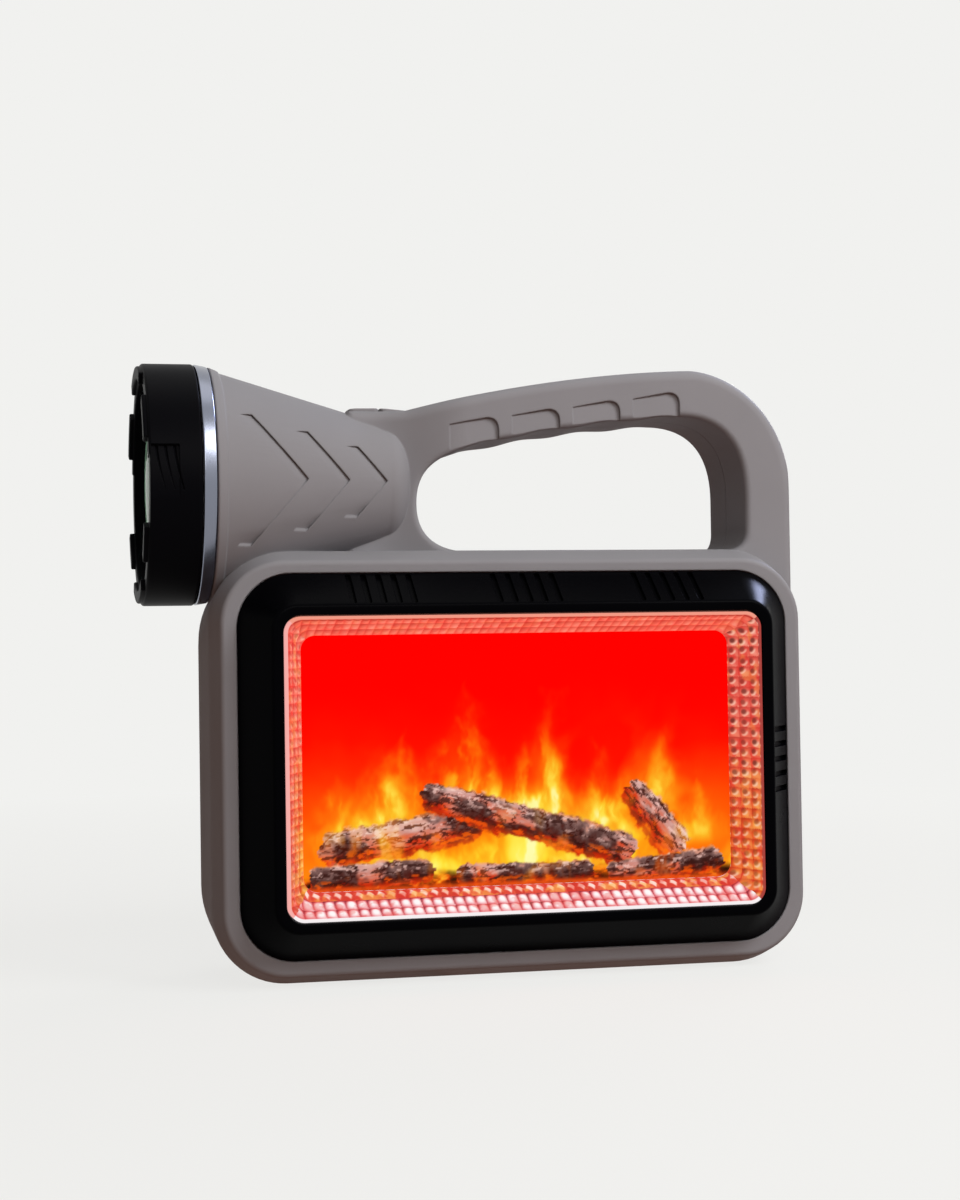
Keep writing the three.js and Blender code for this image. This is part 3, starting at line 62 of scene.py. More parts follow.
# Housing body, by stations from the front to the rear
BODY_HALF = 95.5
BODY_TOP = 132.1
CREASE_Y = 20.0
FRONT_Y = 31.0
BODY_CORNER = 29.0
BODY_STATIONS = [-FRONT_Y, -CREASE_Y, 0.0, CREASE_Y, FRONT_Y]
BODY_HALVES = [91.7, 94.2, BODY_HALF, 93.5, 91.0]
BODY_LOWS = [3.6, 0.0, 0.0, 0.0, 3.6]
BODY_HIGHS = [BODY_TOP - low for low in BODY_LOWS]
BODY_CORNERS = [19.4, 22.5, BODY_CORNER, 27.0, 23.0]
BODY_TABLE = (BODY_HALVES, BODY_LOWS, BODY_HIGHS, BODY_CORNERS)
BODY_EASING = 4.0  # how much of the depth each soft crease takes
FLAT_EDGE = 1.3  # rounding of the front and rear flats' edges
WALL = 2.4
FRONT_WALL = 3.0
REAR_WALL = 2.6
PARTING_Y = 1.0
SEAM_DEPTH = 0.9

# Handle and neck. A curve's pulls are from its start and its end to the points that draw it.
GRIP_HALF = 18.5
NECK_HALF = 10.3
NECK_X = (-42.0, -12.0)
NECK_RIGID = 1.5  # how deep the thinned faces keep their shape under the bevel
NECK_MARGIN = 5.0  # how far past the neck the mesh is made fine
HANDLE_BEVEL = 3.5
HANDLE_TOP = (61.0, 189.8)
SHOULDER = (BODY_HALF, 149.0)
SHOULDER_PULLS = [(0, 29.0), (13.2, 0)]
SADDLE = (-30.5, 176.7)
TOP_PULL = (19.5, 188.5)
LIP_X = -48.3
LIP_RUN = 2.7
LIP_DROP = 3.2

# Window in the handle
WINDOW_RIGHT = 79.3
WINDOW_CORNER = 7.2
WINDOW_SHOULDER = (WINDOW_RIGHT, 150.0)
WINDOW_SHOULDER_PULLS = [(0, 20.0), (11.0, 0)]
WINDOW_WAIST = (-27.8, 147.0)
WINDOW_WAIST_PULLS = [(-10.0, -3.6), (0, 14.0)]
WINDOW_FOOT = (-10.0, BODY_TOP - 0.5)
WINDOW_FOOT_PULLS = [(0, -8.3), (-14.0, 0)]
WINDOW_EDGE = 2.0
INNER_EDGE = 1.5
GRIP_FROM = (-8.0, 165.7)
GRIP_TO = (57.0, 174.7)
GRIP_BOW = 1.4
FINGERS = 4
FINGER_PITCH = 19.9
FINGER_EDGE_X = -2.3
FINGER_RIPPLE = 0.34
POCKET_LENGTH = 15.6
POCKET_DEPTH = 1.2
POCKET_CORNER = 3.8
POCKET_STEP = 0.3
POCKET_TOP_Z = 173.9
POCKET_SLOPE = 0.142
RAMP_START = 0.15

# Torch barrel
AXIS_Z = 153.7
FLANGE_X = -92.4
FLANGE_END_X = FLANGE_X + 3.2
FLANGE_RADIUS = 36.9
FLANGE_STEP = 0.5
CONE_FRONT_RADIUS = 35.1
CONE_END_X = -37.4
CONE_END_RADIUS = 19.7
TAIL_X = -29.6
TAIL_RADIUS = 10.0
NECK_TUBE_RADIUS = 34.3
NECK_TUBE_X = -102.6
RELIEF_RADIUS = 38.0
CHEVRONS = [(-64.06, 0.705), (-50.67, 0.625), (-38.3, 0.53)]  # apex and share of the radius reached
CHEVRON_DEPTH = 0.9
CHEVRON_LOW_SHARE = 0.4  # depth of the lower arm
CHEVRON_END_DEPTH = 1.4
CHEVRON_RUN_OUT = 1.0
CHEVRON_WIDTH = 4.6
CHEVRON_LEAN = math.radians(49)

# Crown, ring and lens
CROWN_RADIUS = 37.65
CROWN_REAR_X = -96.9
CROWN_FRONT_X = -112.9
CROWN_BORE = NECK_TUBE_RADIUS + GAP
CROWN_LIP_RADIUS = 32.6
CROWN_LIP = 4.5
CROWN_EDGE = 0.8
CROWN_BLOCK = 1.3
CROWN_BLOCKS = [(0, 53), (59, 25), (121, 25), (180, 53), (239, 25), (301, 25)]  # middle and span
NOTCHES = [(97, 34), (263, 34)]
NOTCH_DEPTH = 0.35
THUMB_DEPTH = 1.0
THUMB_X = (-112.2, -103.8)
THUMB_Z = (9.5, -9.0)
THUMB_OUT = CROWN_RADIUS + OVERRUN
THUMB_GROOVES = 3
GROOVE_REACH = 0.72  # share of the pad that the grooves take
GROOVE_PLACE = (1.6, 2.7, 2.6)  # start along the pad, pitch and how far each bends aside
GROOVE_HALF = 0.45
GROOVE_SINK = 0.55
LENS_RADIUS = 34.2
LENS_THICK = 2.0
LENS_GASKET = 0.8
DOME_RISE = 3.0
TRIM_RADIUS = 37.6
TRIM_REAR_RADIUS = 36.9
DISH_RADIUS = 30.5
DISH_DEPTH = 26.0
DISH_THROAT = 6.0
DISH_WALL = 1.2
DISH_RIM = 1.8

# Flame picture: sizes are (half width, low, high, corner)
BEZEL_OUTER = (86.8, 8.45, 124.67, 16.4)
BEZEL_CREST = (77.8, 18.1, 114.96, 7.5)
BEZEL_SEAT = 1.1
CREST_Y = 44.1
CREST_SOFT = 0.8
BEZEL_WALL = 2.4
BEZEL_LIP = 2.0
TRAY_RIM = (74.2, 21.3, 111.6, 5.0)
TRAY_BACK = (67.7, 28.6, 106.0, 4.5)
OPENING_MARGIN = 5.3
PICTURE_Y = 30.5
TRAY_WALL = 1.7
TRAY_RIM_INSET = 0.8
SLOT_COUNT = 5
SLOT_PITCH = 4.65
SLOT_WIDTH = 1.7
SLOT_DEPTH = 1.1
SLOT_ENDS = (0.02, 0.96)  # shares of the slope
SLOT_GROUP_PITCH = 45.0
SLOT_GROUP_SHIFT = 1.0
FILM_MARGIN = 1.3
FILM_THICK = 0.4
FILM_GRID = (392, 228)
FILM_EDGE_TONE = 235.0

# Solar panel, keys and sockets
SOLAR_PLACE = (76.0, 21.0, 119.0, 5.0)
SOLAR_THICK = 2.5
SOLAR_REAR_Y = FRONT_Y - 0.1
SOLAR_FLOOR_Y = SOLAR_REAR_Y - SOLAR_THICK - GAP
SOLAR_BACKING = 2.2
KEY_LENGTH = 9.6
KEY_BETWEEN = 0.4
KEY_FROM_X = -47.6
KEY_TO_X = KEY_FROM_X + 2 * KEY_LENGTH + KEY_BETWEEN
KEY_HALF = 4.5
KEY_CORNER = 1.8
KEY_CREST = 1.5
KEY_EDGE = 0.5
KEY_BOW = 0.25
KEY_NOSE = (0.2, 0.4)  # share of the length and drop
KEY_TAIL = (0.55, 0.9)
KEY_FLANGE_TOP = SADDLE[1] - WALL - GAP
KEY_FLANGE = (0.8, 1.4)  # how far it stands out and its height
KEY_STEM = (1.6, 2.4)  # radius and height
PORT_BLOCK = (89.3, 17.0)
PORT_MARGIN = 3.5
BOARD_Y = 8.0
COVER_Z = (67.0, 100.0)
COVER_FROM_Y = 2.2
COVER_FLOOR_X = 92.9
HINGE = (93.7, 13.2)
KNUCKLE_RADIUS = 1.2
PIN = (0.75, 1.4)  # radius and how far it runs into the wall
USB_PORTS = [(70.4, 13.1, 5.6), (87.5, 9.0, 3.2)]  # low, width, height
PIPE = (6.0, 109.0, 1.5)  # y, z, radius

# Screws
HOUSING_SCREWS = [(-80, 14), (80, 14), (-76, 121), (76, 121), (87, 152), (-37, 139)]
BOSS_RADIUS = 4.4
SCREW_HOLE = 1.7
SCREW_HOLE_Y = -6.0
SCREW_BORE = 2.9
SCREW_SEAT = 8.0
SCREW_HEAD = (2.5, 2.0)  # radius and height
SCREW_SHANK = (1.4, 14.3)
CROSS = (1.6, 0.35)  # half length and half width


# Meshes
def add(name, data):
    made = bpy.data.objects.new(name, data)
    bpy.context.scene.collection.objects.link(made)
    return made


@contextmanager
def editing(mesh):
    bm = bmesh.new()
    bm.from_mesh(mesh)
    yield bm
    bm.to_mesh(mesh)
    bm.free()


def rough(name, points, faces):
    """A mesh object from points in millimetres, which keep their order."""
    mesh = bpy.data.meshes.new(name)
    mesh.from_pydata((np.asarray(points) * MM).tolist(), [], faces)
    return add(name, mesh)


def make(name, points, faces):
    """The same with double points merged and the faces turned outwards."""
    made = rough(name, points, faces)
    with editing(made.data) as bm:
        bmesh.ops.remove_doubles(bm, verts=bm.verts, dist=1e-7)
        bmesh.ops.recalc_face_normals(bm, faces=bm.faces)
    return made


def bake(obj):
    """Applies obj's modifiers."""
    bpy.context.view_layer.update()
    depsgraph = bpy.context.evaluated_depsgraph_get()
    mesh = bpy.data.meshes.new_from_object(obj.evaluated_get(depsgraph))
    obj.modifiers.clear()
    obj.data = mesh
    return obj


def combine(obj, others, operation):
    for other in others:
        modifier = obj.modifiers.new(operation, "BOOLEAN")
        modifier.operation = operation
        modifier.solver = "MANIFOLD"
        modifier.object = other
        bake(obj)
        if not obj.data.polygons:
            raise ValueError(f"{obj.name}: nothing is left after {operation} with {other.name}")
    for other in others:
        bpy.data.objects.remove(other)
    return obj


def cut(obj, *others):
    return combine(obj, others, "DIFFERENCE")


def join(obj, *others):
    return combine(obj, others, "UNION")


def keep(obj, *others):
    return combine(obj, others, "INTERSECT")


def copy(obj, name):
    return add(name, obj.data.copy())


def gather(name, parts):
    """Separate meshes as one object, with nothing joined."""
    made = add(name, bpy.data.meshes.new(name))
    with editing(made.data) as bm:
        for part in parts:
            bm.from_mesh(part.data)
            bpy.data.objects.remove(part)
    return made


def soften(obj, width, degrees=30):
    """Rounds the mesh's own edges."""
    modifier = obj.modifiers.new("round", "BEVEL")
    modifier.width = width * MM
    modifier.segments = 3
    modifier.limit_method = "ANGLE"
    modifier.angle_limit = math.radians(degrees)
    return bake(obj)


def smooth(obj, degrees):
    obj.data.shade_smooth()
    obj.data.set_sharp_from_angle(angle=math.radians(degrees))


def shade(obj, degrees=32):
    smooth(obj, degrees)
    modifier = obj.modifiers.new("normals", "WEIGHTED_NORMAL")
    modifier.keep_sharp = True
    return bake(obj)


def grid_faces(rings, count, closed, wrapped=True):
    """Faces between rings of points: closed joins the last ring to the first, wrapped each ring's ends."""
    step = np.arange(count if wrapped else count - 1)
    after = (step + 1) % count
    faces = []
    for i in range(rings if closed else rings - 1):
        a, b = i * count, (i + 1) % rings * count
        faces += np.column_stack([a + step, a + after, b + after, b + step]).tolist()
    return faces


def turned_over(faces):
    """The faces wound the other way, each from the same first corner."""
    return [[face[0], *face[:0:-1]] for face in faces]


def loft(name, rings, closed=False):
    """A body through rings of equal point counts, capped at both ends unless it closes on itself."""
    total, count = len(rings), len(rings[0])
    faces = grid_faces(total, count, closed)
    if not closed:
        faces += [list(range(count)), list(range((total - 1) * count, total * count))]
    return make(name, np.concatenate(rings), faces)


def ring(outline, y):
    x, z = outline.T
    return np.column_stack([x, np.broadcast_to(y, x.shape), z])


def slab(name, outline, y0, y1):
    return loft(name, [ring(outline, y0), ring(outline, y1)])


def prism(name, outline, origin, u, v, n, n0, n1):
    """An outline in the plane of u and v, drawn out along n."""
    flat = np.outer(outline[:, 0], u) + np.outer(outline[:, 1], v) + origin
    return loft(name, [flat + n * n0, flat + n * n1])


def rod(name, axis, radius, start, end, a, b, steps=48):
    """A round bar along an axis, at a and b on the other two."""
    u, v, n = {"x": (Y, Z, X), "y": (X, Z, Y), "z": (X, Y, Z)}[axis]
    angle = np.linspace(0, 2 * math.pi, steps, endpoint=False)
    outline = radius * np.column_stack([np.cos(angle), np.sin(angle)])
    return prism(name, outline, a * u + b * v, u, v, n, start, end)


def block(name, x0, x1, y0, y1, z0, z1):
    return slab(name, np.array([(x0, z0), (x1, z0), (x1, z1), (x0, z1)], float), y0, y1)


def layer(y0, y1):
    """All that lies between two depths."""
    return block("layer", -FAR, FAR, y0, y1, -FAR, FAR)


def turned(name, profile, steps=144, closed=False):
    """A profile of (radius, x) points, turned about the torch's axis."""
    radius, along = np.array(profile, float).T
    angles = np.linspace(0, 2 * math.pi, steps, endpoint=False)
    rings = [np.column_stack([along, radius * math.sin(a), AXIS_Z + radius * math.cos(a)]) for a in angles]
    made = make(name, np.concatenate(rings), grid_faces(steps, len(along), True, closed))
    with editing(made.data) as bm:  # faces without area, where the profile meets the axis
        bmesh.ops.dissolve_degenerate(bm, edges=bm.edges, dist=1e-8)
    return made


# Outlines, those in the x, z plane anticlockwise seen from the front
def fillet(points, steps=5):
    """A polyline of (a, b, radius) points with its corners rounded."""
    points = np.array(points, float)
    made = [points[0, :2]]
    for before, (*here, radius), after in zip(points, points[1:], points[2:]):
        if radius <= 0:
            made.append(here)
            continue
        one, two = before[:2] - here, after[:2] - here
        one, two = one / np.linalg.norm(one), two / np.linalg.norm(two)
        half = math.acos(np.clip(one @ two, -1, 1)) / 2
        centre = here + (one + two) / np.linalg.norm(one + two) * radius / math.sin(half)
        start, end = (here + way * radius / math.tan(half) - centre for way in (one, two))
        turn = math.acos(np.clip(start @ end / radius**2, -1, 1))
        for share in np.linspace(0, 1, steps + 1):
            spoke = math.sin((1 - share) * turn) * start + math.sin(share * turn) * end
            made.append(centre + spoke / max(math.sin(turn), 1e-9))
    made.append(points[-1, :2])
    return np.array(made)


def rounded_rect(size, inset=0.0, middle=0.0, steps=16):
    """size is half width, low, high and corner radius."""
    half, low, high, corner = size
    radius = max(corner - inset, 0.05)
    x, bottom, top = half - inset - radius, low + inset + radius, high - inset - radius
    sweep = np.radians(np.linspace(0, 90, steps + 1))
    parts = []
    for cx, cz, start in [(x, bottom, -90), (x, top, 0), (-x, top, 90), (-x, bottom, 180)]:
        angle = math.radians(start) + sweep
        parts.append(np.column_stack([middle + cx + radius * np.cos(angle), cz + radius * np.sin(angle)]))
    return np.concatenate(parts)


def grown(size, by):
    half, low, high, corner = size
    return half + by, low - by, high + by, corner + by


def between(a, b, share):
    return tuple(np.array(a) + (np.array(b) - np.array(a)) * share)


def unit(rows):
    return rows / np.linalg.norm(rows, axis=1)[:, None]


def moved(outline, distance):
    """The outline moved inwards by a distance, or outwards where it is negative."""
    first = unit(outline - np.roll(outline, 1, axis=0))
    second = unit(np.roll(outline, -1, axis=0) - outline)
    normal = unit(np.column_stack([-first[:, 1] - second[:, 1], first[:, 0] + second[:, 0]]))
    stretch = np.maximum(-normal[:, 0] * first[:, 1] + normal[:, 1] * first[:, 0], 0.5)
    return outline + normal * (distance / stretch)[:, None]


def curve(steps, *points):
    """A curve from the first point to the last, drawn by those between, without its first point."""
    t = np.linspace(0, 1, steps + 1)[1:, None]
    last = len(points) - 1
    return sum(math.comb(last, k) * np.array(p) * t**k * (1 - t) ** (last - k) for k, p in enumerate(points))


def pulled(steps, start, pulls, end):
    """A curve drawn by a point pulled away from its start and one pulled away from its end."""
    return curve(steps, start, np.add(start, pulls[0]), np.add(end, pulls[1]), end)


def path(*parts):
    """One outline from points and rows of points."""
    return np.concatenate([np.atleast_2d(part) for part in parts])


def quarter(steps):
    """How far a round edge of radius 1 falls short on its two sides, over a quarter turn."""
    return [(1 - math.cos(a), 1 - math.sin(a)) for a in np.radians(np.linspace(0, 90, steps + 1))]


# Noise and colour for what is worked out point by point
NOISE_CELLS = 64


def smoothstep(low, high, value):
    share = np.clip((value - low) / (high - low), 0, 1)
    return share * share * (3 - 2 * share)


def noise(x, z, size, seed):
    """Smooth noise from 0 to 1 with features of about a size."""
    grid = np.random.default_rng(seed).random((NOISE_CELLS, NOISE_CELLS))
    u, v = x / size, z / size
    i, j = np.floor(u).astype(int), np.floor(v).astype(int)
    fu, fv = smoothstep(0, 1, u - i), smoothstep(0, 1, v - j)
    i, i1, j, j1 = i % NOISE_CELLS, (i + 1) % NOISE_CELLS, j % NOISE_CELLS, (j + 1) % NOISE_CELLS
    low, high = (grid[i, k] * (1 - fu) + grid[i1, k] * fu for k in (j, j1))
    return low * (1 - fv) + high * fv


def clouds(x, z, size, seed, octaves=4):
    total = sum(noise(x, z, size / 2**i, seed + i) / 2**i for i in range(octaves))
    return total / (2 - 2 ** (1 - octaves))


def blend(under, over, share):
    return under + (np.asarray(over, float) - under) * np.clip(share, 0, 1)[:, None]


def layered(colours, layers):
    """Colours with (colour, share) layers blended over them in turn."""
    for colour, share in layers:
        colours = blend(colours, colour, share)
    return colours


def screen(under, over, share):
    """Light added over colours from 0 to 255."""
    return 255 - (255 - under) * (1 - over / 255 * share[:, None])


def tones(level, stops):
    """Colours from 0 to 255 along a ramp of (level, r, g, b) stops."""
    table = np.array(stops, float)
    return np.column_stack([np.interp(level, table[:, 0], table[:, k]) for k in (1, 2, 3)])


def linear(rgb):
    """Colours from 0 to 255 as linear shares."""
    share = np.clip(rgb, 0, 255) / 255
    return np.where(share <= 0.04045, share / 12.92, ((share + 0.055) / 1.055) ** 2.4)


def srgb(*rgb):
    return (*linear(rgb), 1.0)


def paint(mesh, colours):
    """Stores colours from 0 to 255 on the mesh's points."""
    data = np.column_stack([linear(colours), np.ones(len(colours))]).astype(np.float32)
    mesh.color_attributes.new("tint", "FLOAT_COLOR", "POINT").data.foreach_set("color", data.ravel())


# Materials
MATERIALS = {}


def linked(tree, kind, values=None, **settings):
    node = tree.nodes.new(kind)
    for key, value in settings.items():
        setattr(node, key, value)
    for key, value in (values or {}).items():
        if isinstance(value, bpy.types.NodeSocket):
            tree.links.new(value, node.inputs[key])
        else:
            node.inputs[key].default_value = value
    return node


def maths(tree, operation, one, two):
    return linked(tree, "ShaderNodeMath", {0: one, 1: two}, operation=operation).outputs[0]


def mixed(tree, share, one, two, **settings):
    """A mix of two colours."""
    return linked(tree, "ShaderNodeMix", {0: share, 6: one, 7: two}, data_type="RGBA", **settings).outputs[2]


def object_place(tree):
    return linked(tree, "ShaderNodeTexCoord").outputs["Object"]


def mottled(tree, place, size, detail):
    """Noise with blotches of a size in millimetres."""
    values = {"Vector": place, "Scale": 1 / (size * MM), "Detail": detail}
    return linked(tree, "ShaderNodeTexNoise", values).outputs["Fac"]


def principled(name, roughness, **sockets):
    """A new material's tree and its shader's inputs."""
    material = bpy.data.materials.new(name)
    material.use_nodes = True
    MATERIALS[name] = material
    inputs = material.node_tree.nodes["Principled BSDF"].inputs
    for key, value in {"Roughness": roughness, **sockets}.items():
        inputs[key.replace("_", " ")].default_value = value
    return material.node_tree, inputs


def grained(tree, inputs, place, size, depth, edge=0.0):
    """A fine moulded grain, over edges rounded by a radius."""
    height = mottled(tree, place, size, 2.0)
    bump = linked(tree, "ShaderNodeBump", {"Height": height, "Distance": depth * MM, "Strength": 1.0})
    if edge:
        rounded = linked(tree, "ShaderNodeBevel", {"Radius": edge * MM}, samples=8)
        tree.links.new(rounded.outputs["Normal"], bump.inputs["Normal"])
    tree.links.new(bump.outputs["Normal"], inputs["Normal"])


def plastic(name, rgb, roughness, blotch=18.0, spread=0.05, grain=0.5, depth=0.01, edge=0.0, **sockets):
    """A moulded surface whose colour and roughness wander a little."""
    tree, inputs = principled(name, roughness, **sockets)
    place = object_place(tree)
    dark = (*linear(rgb) * (1 - spread), 1)
    light = (*np.minimum(linear(rgb) * (1 + spread), 1), 1)
    tree.links.new(mixed(tree, mottled(tree, place, blotch, 4.0), dark, light), inputs["Base Color"])
    grained(tree, inputs, place, grain, depth, edge)
    wear = {"Value": mottled(tree, place, blotch, 3.0), "To Min": roughness * 0.9}
    wear["To Max"] = min(roughness * 1.12, 1)
    tree.links.new(linked(tree, "ShaderNodeMapRange", wear).outputs["Result"], inputs["Roughness"])


def painted(name, roughness, glow, body, **sockets):
    """A surface whose colour is worked out point by point, and glows with it."""
    tree, inputs = principled(name, roughness, Emission_Strength=glow, **sockets)
    colour = linked(tree, "ShaderNodeAttribute", attribute_name="tint").outputs["Color"]
    dim = mixed(tree, 1.0, colour, (body, body, body, 1), blend_type="MULTIPLY")
    tree.links.new(dim, inputs["Base Color"])
    tree.links.new(colour, inputs["Emission Color"])


def glass(name, rgb, roughness, **sockets):
    tree, inputs = principled(name, roughness, Base_Color=srgb(*rgb), **sockets)
    grained(tree, inputs, object_place(tree), 6.0, 0.004)


def solar_cells(name):
    """Dark cells in columns with fine silver lines."""
    tree, inputs = principled(name, 0.2, Specular_IOR_Level=0.12)
    place = object_place(tree)
    split = linked(tree, "ShaderNodeSeparateXYZ", {"Vector": place}).outputs
    mottle = linked(tree, "ShaderNodeTexVoronoi", {"Vector": place, "Scale": 1 / (5 * MM)})
    colour = mixed(tree, mottle.outputs["Distance"], srgb(14, 20, 42), srgb(22, 32, 66))
    for axis, pitch, width, tone in [
        (2, 1.6, 0.09, (64, 72, 98)), (0, 12.0, 0.35, (150, 154, 160)), (2, 24.0, 0.5, (176, 180, 186)),
    ]:
        line = maths(tree, "LESS_THAN", maths(tree, "PINGPONG", split[axis], pitch * MM), width * MM)
        colour = mixed(tree, line, colour, srgb(*tone))
    tree.links.new(colour, inputs["Base Color"])


plastic("shell_plastic", (143, 142, 146), 0.66, edge=0.8, Specular_IOR_Level=0.05)
plastic("bezel_plastic", (3, 3, 5), 0.28, grain=1.2, depth=0.004, edge=0.4, Specular_IOR_Level=0.012)
plastic("crown_plastic", (6, 6, 9), 0.42, grain=0.6, depth=0.008, edge=0.35, Specular_IOR_Level=0.02)
plastic("chrome", (128, 132, 146), 0.24, grain=4.0, depth=0.003, spread=0.04, Metallic=1.0)
plastic("mirror", (225, 226, 230), 0.12, grain=1.6, depth=0.012, spread=0.02, Metallic=1.0)
glass("lens_glass", (218, 246, 226), 0.06, Transmission_Weight=0.9, IOR=1.06, Specular_IOR_Level=0.1)
glass("clear_pipe", (226, 232, 232), 0.2, Transmission_Weight=0.6, IOR=1.45)
plastic("soft_rubber", (139, 136, 139), 0.7, grain=0.4, depth=0.012, Specular_IOR_Level=0.12)
plastic("seal_rubber", (26, 26, 27), 0.85)
# The picture glows with its print colours: a painted glow that stands in for the flame LEDs behind it.
painted("film_print_glow", 0.7, 1.0, 0.01, Specular_IOR_Level=0.0)
# The clear tray's colours are painted light, the fire's glow seen through it, and it glows with them.
painted("tray_painted_glow", 0.2, 0.9, 0.08, Specular_IOR_Level=0.15)
plastic("white_plastic", (232, 232, 228), 0.55)
plastic("board_resin", (24, 92, 52), 0.45, blotch=3.0, spread=0.25)
plastic("star_resin", (236, 236, 232), 0.4)
plastic("led_resin", (246, 205, 96), 0.3)
plastic("alloy", (186, 189, 194), 0.34, grain=0.8, Metallic=1.0)
solar_cells("solar_glass")
plastic("cell_wrap", (44, 96, 158), 0.35)
plastic("black_plastic", (26, 26, 28), 0.55)
plastic("steel", (150, 152, 156), 0.3, grain=0.7, Metallic=1.0)
plastic("lead_sleeve", (150, 26, 24), 0.5)


def dress(obj, material):
    obj.data.materials.clear()
    obj.data.materials.append(MATERIALS[material])


def finish(obj, material, body, slot_name, *nodes):
    dress(obj, material)
    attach(obj, body)
    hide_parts(*nodes)


# Housing
def eased(y, values):
    """A value of the body's stations at y, with each crease rounded off."""
    spots = y + np.linspace(-BODY_EASING, BODY_EASING, 17) / 2
    end = np.clip(spots, BODY_STATIONS[0], BODY_STATIONS[-1])
    inside = np.interp(end, BODY_STATIONS, values)
    front = (values[0] - values[1]) / (BODY_STATIONS[1] - BODY_STATIONS[0])
    rear = (values[-1] - values[-2]) / (BODY_STATIONS[-1] - BODY_STATIONS[-2])
    beyond = np.where(spots < end, (end - spots) * front, (spots - end) * rear)
    return float(np.mean(inside + beyond))


def body_ring(y, inset):
    return ring(rounded_rect([eased(y, values) for values in BODY_TABLE], inset), y)


def body_outside():
    edge = [(FRONT_Y - FLAT_EDGE * across, FLAT_EDGE * inset) for across, inset in quarter(5)]
    places = [(-y, inset) for y, inset in edge]
    places += [(y, 0.0) for y in np.linspace(-FRONT_Y + FLAT_EDGE, FRONT_Y - FLAT_EDGE, 56)[1:-1]]
    return loft("body", [body_ring(*place) for place in places + edge[::-1]])


def body_inside():
    ys = [-FRONT_Y + FRONT_WALL, -CREASE_Y, 0.0, CREASE_Y, FRONT_Y - REAR_WALL]
    places = zip(ys, zip(*BODY_TABLE))
    return loft("body_room", [ring(rounded_rect(size, WALL, steps=8), y) for y, size in places])


def plate_outline():
    foot = BODY_TOP - BODY_CORNER
    return path(
        (LIP_X - LIP_RUN, foot), (BODY_HALF, foot), SHOULDER,
        pulled(40, SHOULDER, SHOULDER_PULLS, HANDLE_TOP), curve(40, HANDLE_TOP, TOP_PULL, SADDLE),
        (LIP_X, SADDLE[1]), (LIP_X - LIP_RUN, SADDLE[1] - LIP_DROP),
    )


def plate(inset, steps):
    outline = moved(plate_outline(), inset)
    bevel = max(HANDLE_BEVEL - inset, 0.05)
    front = [(inset + bevel * deep, moved(outline, bevel * aside)) for deep, aside in quarter(steps)]
    rings = [ring(rim, depth - GRIP_HALF) for depth, rim in front]
    rings += [ring(rim, GRIP_HALF - depth) for depth, rim in reversed(front)]
    return loft("plate", rings)


def thin_neck(obj, step):
    """Brings the plate's faces in towards the neck, over a mesh fine enough to curve."""
    planes = [(X, x) for x in np.arange(LIP_X - LIP_RUN, NECK_X[1], step)]
    planes += [(Z, z) for z in np.arange(BODY_TOP - 2, HANDLE_TOP[1], step)]
    rigid = GRIP_HALF - HANDLE_BEVEL - NECK_RIGID
    with editing(obj.data) as bm:
        bmesh.ops.triangulate(bm, faces=bm.faces)
        for normal, place in planes:
            faces = [f for f in bm.faces if f.calc_center_median().x < (NECK_X[1] + NECK_MARGIN) * MM]
            near = set(faces)
            near.update(edge for face in faces for edge in face.edges)
            near.update(point for face in faces for point in face.verts)
            where = normal * (place * MM)
            bmesh.ops.bisect_plane(bm, geom=list(near), plane_co=where, plane_no=normal, dist=1e-6)
        for point in bm.verts:
            shift = (GRIP_HALF - NECK_HALF) * (1 - smoothstep(*NECK_X, point.co.x / MM))
            reach = abs(point.co.y) / MM
            point.co.y = math.copysign(reach - shift * min(reach / rigid, 1), point.co.y) * MM
        bmesh.ops.triangulate(bm, faces=bm.faces)
    return obj


def grip_underside(x):
    share = (x - GRIP_FROM[0]) / (GRIP_TO[0] - GRIP_FROM[0])
    line = GRIP_FROM[1] + (GRIP_TO[1] - GRIP_FROM[1]) * share
    ripple = FINGER_RIPPLE * np.sin(2 * math.pi * (x - FINGER_EDGE_X) / FINGER_PITCH)
    return line + 4 * GRIP_BOW * share * (1 - share) - ripple


def window_outline():
    floor = WINDOW_FOOT[1]
    bend = (WINDOW_RIGHT - WINDOW_CORNER, floor)
    grip_x = np.linspace(GRIP_TO[0], GRIP_FROM[0], 61)
    grip = np.column_stack([grip_x, grip_underside(grip_x)])
    return path(
        WINDOW_FOOT, bend, curve(12, bend, (WINDOW_RIGHT, floor), (WINDOW_RIGHT, floor + WINDOW_CORNER)),
        WINDOW_SHOULDER, pulled(24, WINDOW_SHOULDER, WINDOW_SHOULDER_PULLS, grip[0]),
        grip[1:], pulled(24, grip[-1], WINDOW_WAIST_PULLS, WINDOW_WAIST),
        pulled(20, WINDOW_WAIST, WINDOW_FOOT_PULLS, WINDOW_FOOT)[:-1],
    )


def window_cutter(out, edge, steps):
    """The hand's window, flared so that it leaves round edges on both faces."""
    outline = moved(window_outline(), -out)
    front = [ring(moved(outline, -edge), -GRIP_HALF - 2 * OVERRUN)]
    for aside, deep in quarter(steps)[::-1]:
        front.append(ring(moved(outline, -edge * aside), edge * deep - GRIP_HALF + out))
    return loft("window", front + [r * (1, -1, 1) for r in reversed(front)])


def side_clip(inset):
    """Keeps the handle's column flush with the body's sloping sides."""
    rings = []
    for y in np.linspace(-GRIP_HALF - 1, GRIP_HALF + 1, 40):
        half = eased(y, BODY_HALVES) - 0.05 - inset
        rings.append(ring(rounded_rect((half, -OVERRUN, HANDLE_TOP[1] + OVERRUN, 0), steps=1), y))
    return loft("side_clip", rings)


